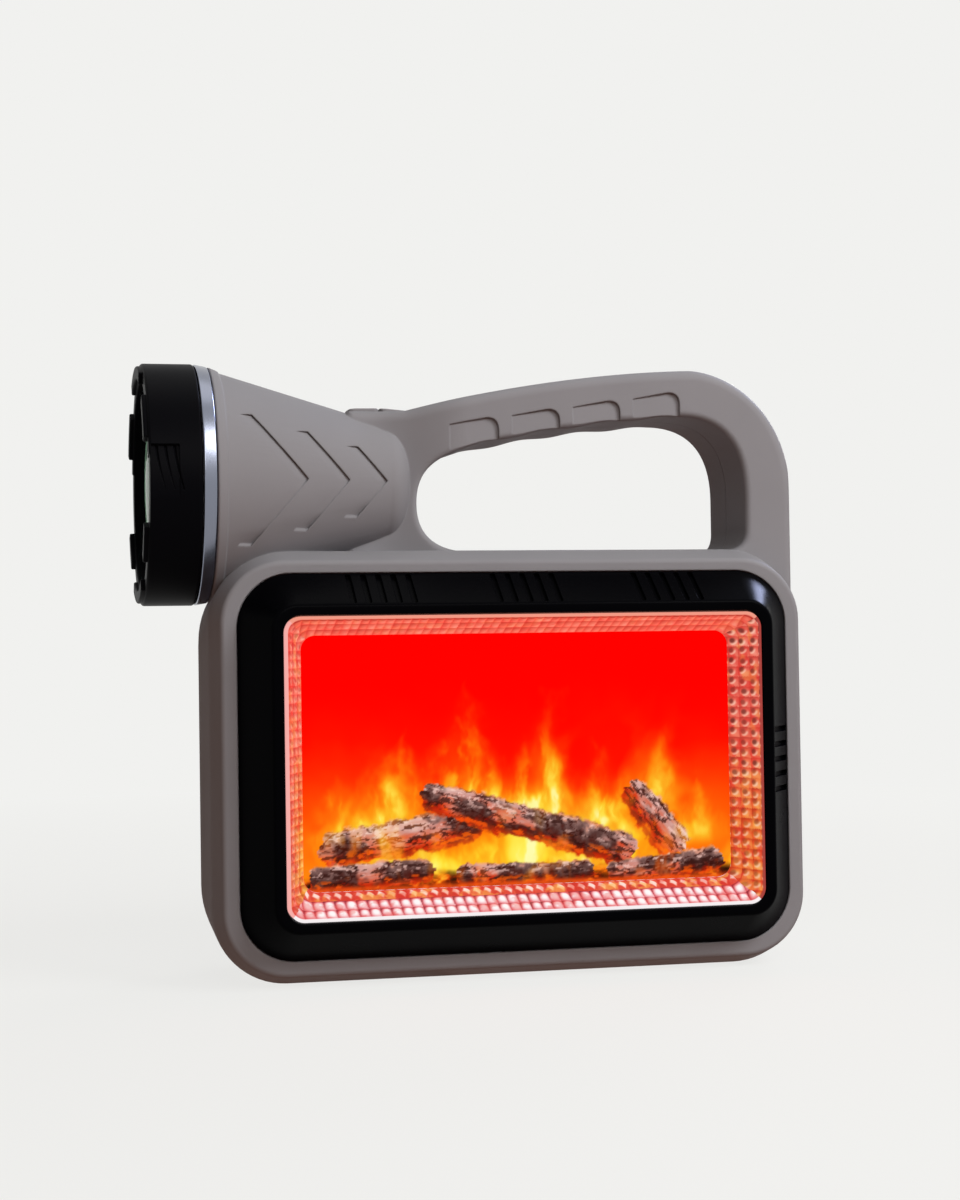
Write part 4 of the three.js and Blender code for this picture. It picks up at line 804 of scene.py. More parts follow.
def finger_pocket(index, side):
    edge = FINGER_EDGE_X + index * FINGER_PITCH
    start = edge - POCKET_LENGTH
    top = POCKET_TOP_Z + POCKET_SLOPE * (edge - FINGER_EDGE_X)
    low = grip_underside(start) - OVERRUN
    bend = (edge, top - POCKET_CORNER)
    outline = path(
        (start, low), (edge, low), bend, curve(10, bend, (edge, top), (edge - POCKET_CORNER, top)),
        (start, top - POCKET_SLOPE * POCKET_LENGTH))
    share = (outline[:, 0] - start) / POCKET_LENGTH
    floor = GRIP_HALF - POCKET_STEP - (POCKET_DEPTH - POCKET_STEP) * share
    return loft("pocket", [ring(outline, side * (GRIP_HALF + OVERRUN)), ring(outline, side * floor)])


def cone_radius(x):
    share = (x - FLANGE_END_X) / (CONE_END_X - FLANGE_END_X)
    return CONE_FRONT_RADIUS + (CONE_END_RADIUS - CONE_FRONT_RADIUS) * share


def barrel(inset, steps=144):
    tail = []
    for a in np.radians(np.linspace(0, 90, 13)[1:]):
        x = CONE_END_X + (TAIL_X - inset - CONE_END_X) * math.sin(a)
        tail.append((TAIL_RADIUS + (CONE_END_RADIUS - inset - TAIL_RADIUS) * math.cos(a), x, 0))
    tube = NECK_TUBE_RADIUS - inset
    if inset:
        start = NECK_TUBE_X - OVERRUN
        rim = [(0, start, 0), (tube, start, 0), (tube, FLANGE_X, 0)]
        rim.append((cone_radius(FLANGE_X) - inset, FLANGE_X, 0))
    else:
        rim = [
            (0, NECK_TUBE_X, 0), (tube, NECK_TUBE_X, 0), (tube, FLANGE_X, 0), (FLANGE_RADIUS, FLANGE_X, 0.5),
            (CONE_FRONT_RADIUS + FLANGE_STEP, FLANGE_END_X, 0.3), (CONE_FRONT_RADIUS, FLANGE_END_X, 0.2),
        ]
    points = [*rim, (CONE_END_RADIUS - inset, CONE_END_X, 0), *tail, (0, TAIL_X - inset, 0)]
    return turned("barrel", fillet(points, 3), steps)


def chevron(apex, share, side):
    """A cutter for one arrow on the cone, up to a share of the radius over and under the axis."""
    reach = share * cone_radius(apex)
    rings = []
    for z in [*np.linspace(reach, -reach, 41), -reach - CHEVRON_RUN_OUT]:
        depth = CHEVRON_DEPTH * (1 - (1 - CHEVRON_LOW_SHARE) * smoothstep(0, 3, -z))
        depth += (CHEVRON_END_DEPTH - depth) * smoothstep(reach - 5, reach, -z)
        if z < -reach:
            depth = -RAMP_START
        rear = apex - abs(z) / math.tan(CHEVRON_LEAN)
        front = rear - CHEVRON_WIDTH
        corners = [(front, 0, OVERRUN), (rear, 0, OVERRUN), (rear, depth, 0), (front, -RAMP_START, 0)]
        rings.append([
            (x, side * (math.sqrt((cone_radius(x) - deep) ** 2 - z * z) + out), AXIS_Z + z)
            for x, deep, out in corners
        ])
    return loft("chevron", rings)


def housing_outside():
    handle = keep(plate(0, 8), side_clip(0))
    cut(handle, window_cutter(0, WINDOW_EDGE, 6))
    cut(handle, gather("pockets", [finger_pocket(i, side) for i in range(FINGERS) for side in (-1, 1)]))
    thin_neck(handle, 1.2)
    torch = barrel(0)
    cut(torch, gather("arrows", [chevron(*place, side) for place in CHEVRONS for side in (-1, 1)]))
    relief = rod("relief", "x", RELIEF_RADIUS, CROWN_FRONT_X - OVERRUN, FLANGE_X, 0, AXIS_Z, 96)
    return join(cut(body_outside(), relief), handle, torch)


def handle_core(inset, step):
    handle = keep(plate(inset, 2), side_clip(inset))
    return thin_neck(cut(handle, window_cutter(inset, INNER_EDGE, 2)), step)


def seam_groove():
    """The groove round the seam, down to where the halves meet."""
    handle = handle_core(SEAM_DEPTH, 3.0)
    body = loft("core", [body_ring(y, SEAM_DEPTH) for y in np.linspace(-CREASE_Y, CREASE_Y, 9)])
    core = join(body, handle, barrel(SEAM_DEPTH, 96))
    return cut(layer(PARTING_Y - GAP / 2, PARTING_Y + GAP / 2), core)


def housing_inside():
    handle = handle_core(WALL, 4.0)
    port_block = block(
        "port_block", PORT_BLOCK[0], BODY_HALF + OVERRUN, PARTING_Y, PORT_BLOCK[1],
        COVER_Z[0] - PORT_MARGIN, PIPE[1] + PORT_MARGIN)
    solar_outline = rounded_rect((*grown(SOLAR_PLACE, WALL)[:3], SOLAR_PLACE[3]))
    solar_block = slab("solar_block", solar_outline, SOLAR_FLOOR_Y - SOLAR_BACKING, FRONT_Y + OVERRUN)
    return join(cut(body_inside(), port_block, solar_block), handle, barrel(WALL, 48))


def key_well():
    size = grown(((KEY_TO_X - KEY_FROM_X) / 2, -KEY_HALF, KEY_HALF, KEY_CORNER), GAP)
    outline = rounded_rect(size, middle=(KEY_TO_X + KEY_FROM_X) / 2)
    return prism("key_well", outline, 0, X, Y, Z, SADDLE[1] - WALL - OVERRUN, SADDLE[1] + OVERRUN)


def posts(radius, y0, y1):
    return gather("posts", [rod("post", "y", radius, y0, y1, x, z, 24) for x, z in HOUSING_SCREWS])


def port_cuts():
    out = BODY_HALF + OVERRUN
    inner = PORT_BLOCK[0] - OVERRUN
    top = BOARD_Y - GAP
    x, y = HINGE
    low, high = COVER_Z
    recess = block("recess", COVER_FLOOR_X, out, COVER_FROM_Y, y, low, high)
    join(recess, rod("trough", "z", KNUCKLE_RADIUS + GAP, low, high, x, y))
    join(recess, block("mouth", x, out, y - OVERRUN, y + KNUCKLE_RADIUS + GAP, low, high))
    for base, width, height in USB_PORTS:
        join(recess, block("usb", inner, out, top - height - GAP, top + GAP, base - GAP, base + width + GAP))
    pipe = rod("pipe", "x", PIPE[2] + GAP, inner, out, PIPE[0], PIPE[1], 32)
    return recess, pipe, rod("pin", "z", PIN[0], low - PIN[1], high + PIN[1], x, y, 16)


def build_shells():
    outside = housing_outside()
    hollow = cut(copy(outside, "hollow"), housing_inside())
    out = -FRONT_Y - OVERRUN
    seat = slab("seat", rounded_rect(grown(BEZEL_OUTER, GAP)), out, -FRONT_Y + BEZEL_SEAT)
    opening_outline = rounded_rect(grown(TRAY_BACK, OPENING_MARGIN))
    opening = slab("opening", opening_outline, out, -FRONT_Y + FRONT_WALL + OVERRUN)
    bosses = keep(posts(BOSS_RADIUS, -FRONT_Y, PARTING_Y), copy(outside, "o"))
    front = keep(join(copy(hollow, "housing_front"), bosses), layer(-FAR, PARTING_Y))
    groove = seam_groove()
    pilots = posts(SCREW_HOLE, SCREW_HOLE_Y, PARTING_Y + OVERRUN)
    cut(front, seat, opening, pilots, key_well(), copy(groove, "g"))
    rear = join(hollow, keep(posts(BOSS_RADIUS, PARTING_Y, FRONT_Y), outside))
    rear.name = "housing_rear"
    keep(rear, layer(PARTING_Y, FAR))
    holes = posts(SCREW_HOLE, PARTING_Y - OVERRUN, PARTING_Y + SCREW_SEAT + OVERRUN)
    bores = posts(SCREW_BORE, PARTING_Y + SCREW_SEAT, FRONT_Y + OVERRUN)
    panel = slab("panel", rounded_rect(SOLAR_PLACE), SOLAR_FLOOR_Y, FRONT_Y + OVERRUN)
    cut(rear, holes, bores, panel, key_well(), groove, *port_cuts())
    finish(shade(front), "shell_plastic", "housing", "shell", "front_shell")
    finish(shade(rear), "shell_plastic", "housing", "shell", "rear_shell")


# Torch
def sector_prism(name, middle, span, inner, outer, x0, x1):
    """A piece of a ring round the torch's axis, its angles in degrees from the top."""
    angle = np.radians(np.linspace(middle - span / 2, middle + span / 2, 25))
    arc = np.column_stack([np.sin(angle), np.cos(angle)])
    return prism(name, path(arc * outer, arc[::-1] * inner), AXIS_Z * Z, Y, Z, X, x0, x1)


def crown_block(middle, span):
    made = sector_prism(
        "block", middle, span, CROWN_LIP_RADIUS + 0.4, CROWN_RADIUS - CROWN_EDGE,
        CROWN_FRONT_X - CROWN_BLOCK, CROWN_FRONT_X + CROWN_EDGE)
    return soften(made, 0.5, 40)


def thumb_section(side, z, share, sink, corners):
    """Points of a cutter into the crown's side, at heights over the pad's floor, or None for outside."""
    floor = math.sqrt(CROWN_RADIUS**2 - z * z) - THUMB_DEPTH * (1 - share) - sink
    places = [(x, THUMB_OUT if up is None else floor + up) for x, up in corners]
    return [(x, side * y, AXIS_Z - side * z) for x, y in places]


def thumb_recess(side):
    rings = []
    x0, x1 = THUMB_X
    for share in np.linspace(0, 1, 17):
        z = THUMB_Z[0] + (THUMB_Z[1] - THUMB_Z[0]) * share
        corners = [(x0, 0), (x1, 0), (x1, None), (x0, None)]
        rings.append(thumb_section(side, z, share, -RAMP_START * share, corners))
    return loft("thumb", rings)


def thumb_groove(index, side):
    """A curved groove under the thumb pad, running out downwards."""
    start, pitch, bend = GROOVE_PLACE
    rings = []
    for share in np.linspace(0, 1, 21):
        z = THUMB_Z[0] - 0.3 + (THUMB_Z[1] - THUMB_Z[0]) * GROOVE_REACH * share
        x = THUMB_X[0] + start + pitch * index + bend * share**1.5
        half = GROOVE_HALF * (1 - 0.6 * share)
        corners = [(x, 0), (x + half, half), (x + half, None), (x - half, None), (x - half, half)]
        rings.append(thumb_section(side, z, share * GROOVE_REACH, GROOVE_SINK * (1 - share), corners))
    return loft("groove", rings)


def build_crown():
    lip_rear = CROWN_FRONT_X + CROWN_LIP
    middle = (CROWN_RADIUS + CROWN_BORE) / 2
    crown = turned("crown", fillet([
        (middle, CROWN_REAR_X, 0), (CROWN_RADIUS, CROWN_REAR_X, 0.7), (CROWN_RADIUS, CROWN_FRONT_X, 0.9),
        (CROWN_LIP_RADIUS, CROWN_FRONT_X, 0.5), (CROWN_LIP_RADIUS, lip_rear, 0), (CROWN_BORE, lip_rear, 0),
        (CROWN_BORE, CROWN_REAR_X, 0.2), (middle - 0.01, CROWN_REAR_X, 0),
    ]), closed=True)
    join(crown, gather("blocks", [crown_block(*place) for place in CROWN_BLOCKS]))
    cut(crown, thumb_recess(-1), thumb_recess(1))
    for index in range(THUMB_GROOVES):
        cut(crown, thumb_groove(index, -1), thumb_groove(index, 1))
    for place in NOTCHES:
        cut(crown, sector_prism(
            "notch", *place, CROWN_LIP_RADIUS - 1, CROWN_RADIUS + 1,
            CROWN_FRONT_X - OVERRUN, CROWN_FRONT_X + NOTCH_DEPTH))
    finish(shade(crown), "crown_plastic", "housing", "crown", "crown_bezel")


def build_trim():
    front, rear = CROWN_REAR_X + GAP, FLANGE_X - GAP
    middle = (TRIM_RADIUS + CROWN_BORE) / 2
    trim = turned("trim", fillet([
        (middle, front, 0), (TRIM_RADIUS, front, 0.4), (TRIM_REAR_RADIUS, rear, 0.4),
        (CROWN_BORE, rear, 0), (CROWN_BORE, front, 0.1), (middle - 0.01, front, 0),
    ]), closed=True)
    finish(shade(trim), "chrome", "housing", "chrome_trim", "trim_ring")


def build_lens():
    front = CROWN_FRONT_X + CROWN_LIP + GAP
    edge = CROWN_LIP_RADIUS - 0.6
    dome = [(edge * share, front - DOME_RISE * (1 - share**2)) for share in np.linspace(0, 1, 15)]
    profile = [*dome, (LENS_RADIUS, front), (LENS_RADIUS, front + LENS_THICK), (0, front + LENS_THICK)]
    finish(shade(turned("lens", profile)), "lens_glass", "housing", "clear", "torch_lens")


def build_reflector():
    front = CROWN_FRONT_X + CROWN_LIP + GAP + LENS_THICK + GAP + LENS_GASKET + GAP
    throat = DISH_DEPTH * (DISH_THROAT / DISH_RADIUS) ** 2
    depths = throat + (DISH_DEPTH - throat) * np.linspace(1, 0, 25) ** 2
    inner = [(DISH_RADIUS * math.sqrt(d / DISH_DEPTH), front + DISH_DEPTH - d) for d in depths]
    outer = [(r + DISH_WALL, x) for r, x in inner]
    outer[0] = (DISH_RADIUS + DISH_WALL, front + DISH_RIM)
    end = front + DISH_DEPTH + DISH_WALL - GAP
    profile = [
        *inner, (DISH_THROAT, end), (DISH_THROAT + DISH_WALL, end), *outer[::-1],
        (LENS_RADIUS, front + DISH_RIM), (LENS_RADIUS, front),
    ]
    dish = turned("reflector", profile, 96, closed=True)
    finish(shade(dish), "mirror", "housing", "mirror", "torch_reflector")


# Black frame round the picture
def slope_slot(place, k, across, along):
    """A rounded groove down the slope on the side that value k of the sizes gives."""
    outer, crest = np.array([-FRONT_Y, BEZEL_OUTER[k]]), np.array([-CREST_Y, BEZEL_CREST[k]])
    length = np.linalg.norm(crest - outer)
    run = (crest - outer) / length
    first, last = SLOT_ENDS[0] * length, SLOT_ENDS[1] * length
    radius = SLOT_WIDTH / 2
    arc = np.radians(np.linspace(-90, 90, 9))
    x, y = radius * np.cos(arc), radius * np.sin(arc)
    outline = path(np.column_stack([last - radius + x, y]), np.column_stack([first + radius - x, -y]))
    origin = outer[0] * Y + outer[1] * across + place * along
    down, out = run[0] * Y + run[1] * across, run[1] * Y - run[0] * across
    return prism("slot", outline, origin, down, along, out, -SLOT_DEPTH, OVERRUN)


def build_bezel():
    rear = -FRONT_Y + BEZEL_SEAT - GAP
    hole = grown(TRAY_RIM, GAP)
    rise = CREST_Y - FRONT_Y
    places = [(BEZEL_OUTER, 0, rear)]
    places += [(between(BEZEL_OUTER, BEZEL_CREST, s), 0, -FRONT_Y - rise * s) for s in (0, 0.5, 0.94)]
    slope_end = places[-1][0]
    for share in (0.35, 0.7, 1.0):
        size = between(slope_end, BEZEL_CREST, 0.55 + 0.45 * share)
        places.append((size, CREST_SOFT * share**2, -CREST_Y + CREST_SOFT * (1 - share) ** 2 * 0.7))
    lip = (rise - BEZEL_LIP) / rise
    places += [
        (hole, -0.7, -CREST_Y), (hole, -0.2, -CREST_Y + 0.2), (hole, 0, -CREST_Y + 0.7),
        (hole, 0, -CREST_Y + BEZEL_LIP),
        (between(BEZEL_OUTER, BEZEL_CREST, lip), BEZEL_WALL, -CREST_Y + BEZEL_LIP),
        (BEZEL_OUTER, BEZEL_WALL, -FRONT_Y), (BEZEL_OUTER, BEZEL_WALL, rear),
    ]
    rings = [ring(rounded_rect(size, inset, steps=14), y) for size, inset, y in places]
    slots = []
    for i in range(SLOT_COUNT):
        step = (i - (SLOT_COUNT - 1) / 2) * SLOT_PITCH
        for group in (-1, 0, 1):
            slots.append(slope_slot(SLOT_GROUP_SHIFT + group * SLOT_GROUP_PITCH + step, 2, Z, X))
        slots.append(slope_slot((BEZEL_OUTER[1] + BEZEL_OUTER[2]) / 2 - SLOT_GROUP_SHIFT + step, 0, X, Z))
    bezel = cut(loft("bezel", rings, closed=True), gather("slots", slots))
    finish(shade(bezel, 28), "bezel_plastic", "housing", "bezel", "flame_bezel")


# The fire picture
FIRE_RAMP = [
    (0.0, 255, 2, 0), (0.15, 255, 16, 0), (0.3, 255, 48, 2), (0.45, 255, 88, 5), (0.6, 255, 132, 14),
    (0.78, 252, 180, 36), (0.9, 255, 218, 70), (1.0, 255, 244, 150),
]
WOOD_RAMP = [
    (0.0, 168, 24, 10), (0.2, 214, 62, 30), (0.42, 214, 112, 88),
    (0.62, 206, 148, 138), (0.82, 224, 180, 172), (1.0, 252, 222, 200),
]
CHAR_RAMP = [
    (0.0, 150, 20, 8), (0.3, 78, 30, 24), (0.6, 92, 62, 58), (0.85, 140, 104, 98), (1.0, 214, 150, 128),
]
COAL_RAMP = [(0.3, 26, 10, 8), (0.52, 96, 20, 8), (0.62, 225, 70, 12), (0.75, 255, 150, 40)]
# Each flame: foot x, foot z, height, width, lean and strength.
FLAMES = [
    (-54, 44, 20, 9, -0.15, 0.34), (-44, 48, 30, 8, 0.25, 0.40), (-33, 52, 22, 7, -0.3, 0.36),
    (-20, 56, 36, 9, 0.12, 0.40), (-8, 54, 24, 7, -0.3, 0.42), (4, 50, 40, 10, 0.2, 0.42),
    (17, 46, 26, 7, -0.25, 0.44), (28, 44, 30, 8, -0.1, 0.40), (45, 52, 26, 8, 0.2, 0.34),
    (57, 42, 18, 8, 0.2, 0.30), (-40, 34, 14, 16, 0.05, 0.26), (-2, 35, 16, 22, 0.05, 0.30),
    (30, 33, 13, 14, 0.0, 0.28),
]
# Each log: its two ends, its half thickness at each, and how charred it is.
LOGS_BEHIND = [((-62, 40), (-12, 48), 6.2, 5.2, 0.42), ((52, 37), (35, 58), 5.8, 4.6, 0.40)]
LOGS_AHEAD = [
    ((-31, 57), (37, 37), 4.8, 5.9, 0.46), ((-66, 32), (-27, 34), 4.4, 3.4, 0.72),
    ((-20, 32), (24, 32), 3.6, 3.0, 0.80), ((28, 31), (66, 34), 3.4, 4.4, 0.76),
]


def fire_heat(x, z, height):
    drift = clouds(x, z, 30, 3) - 0.5
    heat = 0.57 * (1 - smoothstep(0.0, 0.8, height + 0.3 * drift))
    smoke = clouds(x * 1.2 + 20 * drift, z * 0.8, 18, 40)
    heat = heat + 0.22 * smoothstep(0.5, 0.75, smoke) * (1 - smoothstep(0.42, 0.82, height))
    for i, (foot_x, foot_z, tall, wide, lean, strength) in enumerate(FLAMES):
        share = (z - foot_z) / tall
        inside = (share > -0.25) & (share < 1)
        up = np.clip(share, 0, 1)
        curl = clouds(x + 40 * i, z * 0.8, 9, 60 + i) - 0.5
        centre = foot_x + lean * tall * up**1.5 + curl * 16 * up
        width = wide * (1 - up) ** 0.8 * (0.55 + 0.9 * clouds(x, z + 30 * i, 8, 90 + i)) + 0.4
        core = np.exp(-(((x - centre) / width) ** 2))
        lick = 0.5 + 0.9 * smoothstep(0.35, 0.75, clouds(x * 1.4 + 9 * curl, z * 0.6, 6, 120 + i))
        heat = heat + inside * strength * core * (1 - up) ** 0.6 * lick * smoothstep(-0.25, 0.1, share)
    return np.clip(heat, 0, 1)


def draw_log(colours, x, z, log, seed):
    """Lays one log over the colours: ash on its upper side, char, cracks, and a glow below."""
    (x0, z0), (x1, z1), r0, r1, char = log
    length = math.hypot(x1 - x0, z1 - z0)
    ux, uz = (x1 - x0) / length, (z1 - z0) / length
    s = (x - x0) * ux + (z - z0) * uz
    d = ((z - z0) * ux - (x - x0) * uz) * math.copysign(1, ux)

    def bark(along, across, size, kind):
        return clouds(s * along, d * across, size, seed + kind)

    radius = (r0 + (r1 - r0) * np.clip(s / length, 0, 1)) * (0.76 + 0.48 * clouds(s, d * 0.3 + 20, 6, seed))
    ends = np.minimum(s, length - s) + 3.4 * (clouds(d * 2, s * 0.2, 3, seed + 5) - 0.5)
    bulge = np.sqrt(np.clip(1 - np.clip(1 - ends / 3.0, 0, 1) ** 2, 0, 1))
    v = d / np.maximum(radius * np.maximum(bulge, 0.05), 0.1)
    mask = smoothstep(1.08, 0.88, np.abs(v) + 0.5 * (bark(1.4, 1.4, 2.4, 7) - 0.5)) * (ends > 0)
    coal = tones(0.5 + 0.4 * v + 0.8 * (bark(1, 1, 2.0, 19) - 0.5), CHAR_RAMP)
    wood = layered(tones(0.42 + 0.36 * v + 0.7 * (bark(0.5, 2.0, 3.0, 11) - 0.5), WOOD_RAMP), [
        (coal, smoothstep(0.44, 0.58, bark(0.8, 1.2, 7, 31) + 0.5 * (char - 0.5))),
        ((52, 22, 18), smoothstep(0.56, 0.63, bark(0.8, 2.4, 2.2, 23)) * 0.75),
        ((60, 16, 10), smoothstep(0.03, 0.008, np.abs(bark(0.5, 1.3, 4.5, 41) - 0.5)) * 0.75),
        ((250, 208, 198), smoothstep(0.6, 0.7, bark(0.9, 2.0, 1.8, 47)) * smoothstep(-0.4, 0.5, v) * 0.7),
        ((255, 96, 14), smoothstep(0.58, 0.7, bark(0.8, 2.0, 2.4, 53)) * smoothstep(0.2, -0.6, v) * 0.8),
        ((240, 70, 16), smoothstep(-0.35, -1.0, v) * 0.6),
        ((255, 150, 84), smoothstep(0.8, 1.0, v) * 0.55),
    ])
    return colours + (wood - colours) * mask[:, None]


def fire_colours(x, z, low, high):
    height = (z - low) / (high - low)
    heat = fire_heat(x, z, height)
    colours = tones(heat, FIRE_RAMP)
    for i, log in enumerate(LOGS_BEHIND):
        colours = draw_log(colours, x, z, log, 200 + 70 * i)
    lick = smoothstep(0.44, 0.68, clouds(x * 1.2, z * 0.6, 8, 170)) * smoothstep(0.5, 0.15, height)
    veil = tones(np.clip(heat - 0.12, 0, 1), FIRE_RAMP)
    colours = screen(colours, veil, lick * smoothstep(0.35, 0.75, heat) * 0.8)
    bed = smoothstep(34.0, 29.5, z + 6 * (clouds(x, z, 6, 180) - 0.5))
    colours = blend(colours, tones(clouds(x * 0.8, z * 1.6, 2.4, 190), COAL_RAMP), bed * 0.92)
    for i, log in enumerate(LOGS_AHEAD):
        colours = draw_log(colours, x, z, log, 500 + 70 * i)
    tongue = smoothstep(0.54, 0.74, clouds(x * 1.1 + 7, z * 0.55, 7, 710)) * smoothstep(0.4, 0.12, height)
    colours = screen(colours, tones(heat * 0.7, FIRE_RAMP), tongue * 0.6)
    return blend(colours, (236, 84, 22), smoothstep(30.2, 28.6, z) * 0.8)


def build_film():
    half, low, high, corner = grown(TRAY_BACK, FILM_MARGIN)
    front = -PICTURE_Y + TRAY_WALL + GAP
    columns, rows = FILM_GRID
    xs, zs = np.meshgrid(np.linspace(-half, half, columns), np.linspace(low, high, rows), indexing="ij")
    dx = np.sign(xs) * np.maximum(np.abs(xs) - (half - corner), 0)
    middle = (low + high) / 2
    dz = np.sign(zs - middle) * np.maximum(np.abs(zs - middle) - ((high - low) / 2 - corner), 0)
    reach = np.maximum(np.hypot(dx, dz), 1e-9)
    squeeze = np.where((dx != 0) & (dz != 0), np.maximum(np.abs(dx), np.abs(dz)) / reach, 1)
    x, z = (xs - dx * (1 - squeeze)).ravel(), (zs - dz * (1 - squeeze)).ravel()
    count = columns * rows
    index = np.arange(count).reshape(columns, rows)
    edge = np.concatenate([index[:-1, 0], index[-1, :-1], index[:0:-1, -1], index[0, :0:-1]])
    back = count + np.arange(len(edge))
    sides = np.column_stack([edge, back, np.roll(back, -1), np.roll(edge, -1)])
    face = np.column_stack([x, z])
    faces = turned_over(grid_faces(columns, rows, False, False)) + sides.tolist() + [back[::-1].tolist()]
    film = rough("film", np.concatenate([ring(face, front), ring(face[edge], front + FILM_THICK)]), faces)
    edge_colours = np.full((len(edge), 3), FILM_EDGE_TONE)
    # The print's colours, which its material also sends out as a painted glow.
    paint(film.data, np.concatenate([fire_colours(x, z, low, high), edge_colours]))
    smooth(film, 40)
    finish(film, "film_print_glow", "housing", "film", "flame_film")


# Clear tray with moulded beads, coloured with painted light: the fire's glow seen through the clear plastic,
# with painted shade and highlights on the beads. Values by side are for the right, the top, the left and the
# bottom.
BEAD_PITCHES = np.array([3.15, 2.55, 2.6, 3.3])
BEAD_HEIGHT = 0.5
BEAD_RINGS = 54  # down the tray's slope
BEAD_ROWS = [(0.4, 4.8), (4.8, 9.8), (9.8, 14.8)]  # depths from the rim
RIM_BANDS = np.array([0.2, 0.6, 0.3, 0.5])  # smooth band along the rim
# The rim's tones by side: painted light, as the clear rim shows the glow.
RIM_TONES = np.array([(170, 62, 56), (244, 156, 134), (250, 176, 170), (250, 244, 246)], float)
# For each side the tones of a bead from painted shade at its edge to a painted highlight on its top, above
# the fire and near it.
BEAD_TONES = np.array([
    [(196, 70, 60), (230, 92, 78), (244, 128, 108), (255, 196, 176)],
    [(214, 72, 58), (240, 104, 84), (252, 132, 110), (255, 170, 148)],
    [(206, 74, 66), (240, 112, 96), (252, 146, 124), (255, 206, 190)],
    [(140, 44, 62), (222, 100, 108), (250, 196, 200), (255, 253, 253)],
], float)
WARM_TONES = np.array([
    [(196, 60, 30), (236, 96, 44), (250, 150, 72), (255, 222, 138)],
    BEAD_TONES[1],
    [(190, 92, 36), (240, 142, 54), (255, 196, 92), (255, 232, 158)],
    [(206, 56, 46), (228, 78, 62), (244, 132, 108), (255, 226, 216)],
], float)
# Painted light on the beads by side: which way it falls across a bead (along, to the picture), how much the
# dome brightens and how much chance shifts it.
BEAD_LIGHTS = np.array([(-0.5, -0.35), (0.3, 0.3), (-0.4, 0.35), (0.3, -0.35)])  # along, to the picture
BEAD_GAINS = np.array([0.42, 0.42, 0.42, 0.85])
BEAD_LUCKS = np.array([0.3, 0.3, 0.3, 0.16])
# How much red and gold painted glow shows on each side.
RED_SHARES = np.array([0.5, 0.25, 0.5, 0.3])
GOLD_SHARES = np.array([0.35, 0.1, 0.3, 0.0])
# How strongly the painted dark spots and their painted highlight arcs show on each side.
SPOT_SHADE_AND_ARC_SHARES = np.array([0.85, 0.0, 0.3, 0.0])
# How warm the left side's painted glow turns low down.
LEFT_WARMTHS = np.array([0.1, 0.55, 1.0, 0.0])  # by row, the last for the rim
TRAY_COUNTS = (300, 470, 32)  # points up a side, along the top and round a corner


def tray_ring(size, inset):
    """A rounded rectangle with set point counts, and each point's side: 0 right, 1 top, 2 left, 3 bottom."""
    half, low, high, corner = grown(size, -inset)
    x, bottom, top = half - corner, low + corner, high - corner
    tall, wide, turn = TRAY_COUNTS
    parts, sides = [], []
    for k, (start, end, centre, count) in enumerate([
        ((half, bottom), (half, top), (x, top), tall), ((x, high), (-x, high), (-x, top), wide),
        ((-half, top), (-half, bottom), (-x, bottom), tall), ((-x, low), (x, low), (x, bottom), wide),
    ]):
        share = np.linspace(0, 1, count, endpoint=False)[:, None]
        angle = math.radians(90 * k) + np.linspace(0, math.pi / 2, turn, endpoint=False)
        parts.append(np.array(start) + (np.array(end) - start) * share)
        parts.append(centre + corner * np.column_stack([np.cos(angle), np.sin(angle)]))
        sides += [k] * (count + turn // 2) + [(k + 1) % 4] * (turn - turn // 2)
    return np.concatenate(parts), np.array(sides)


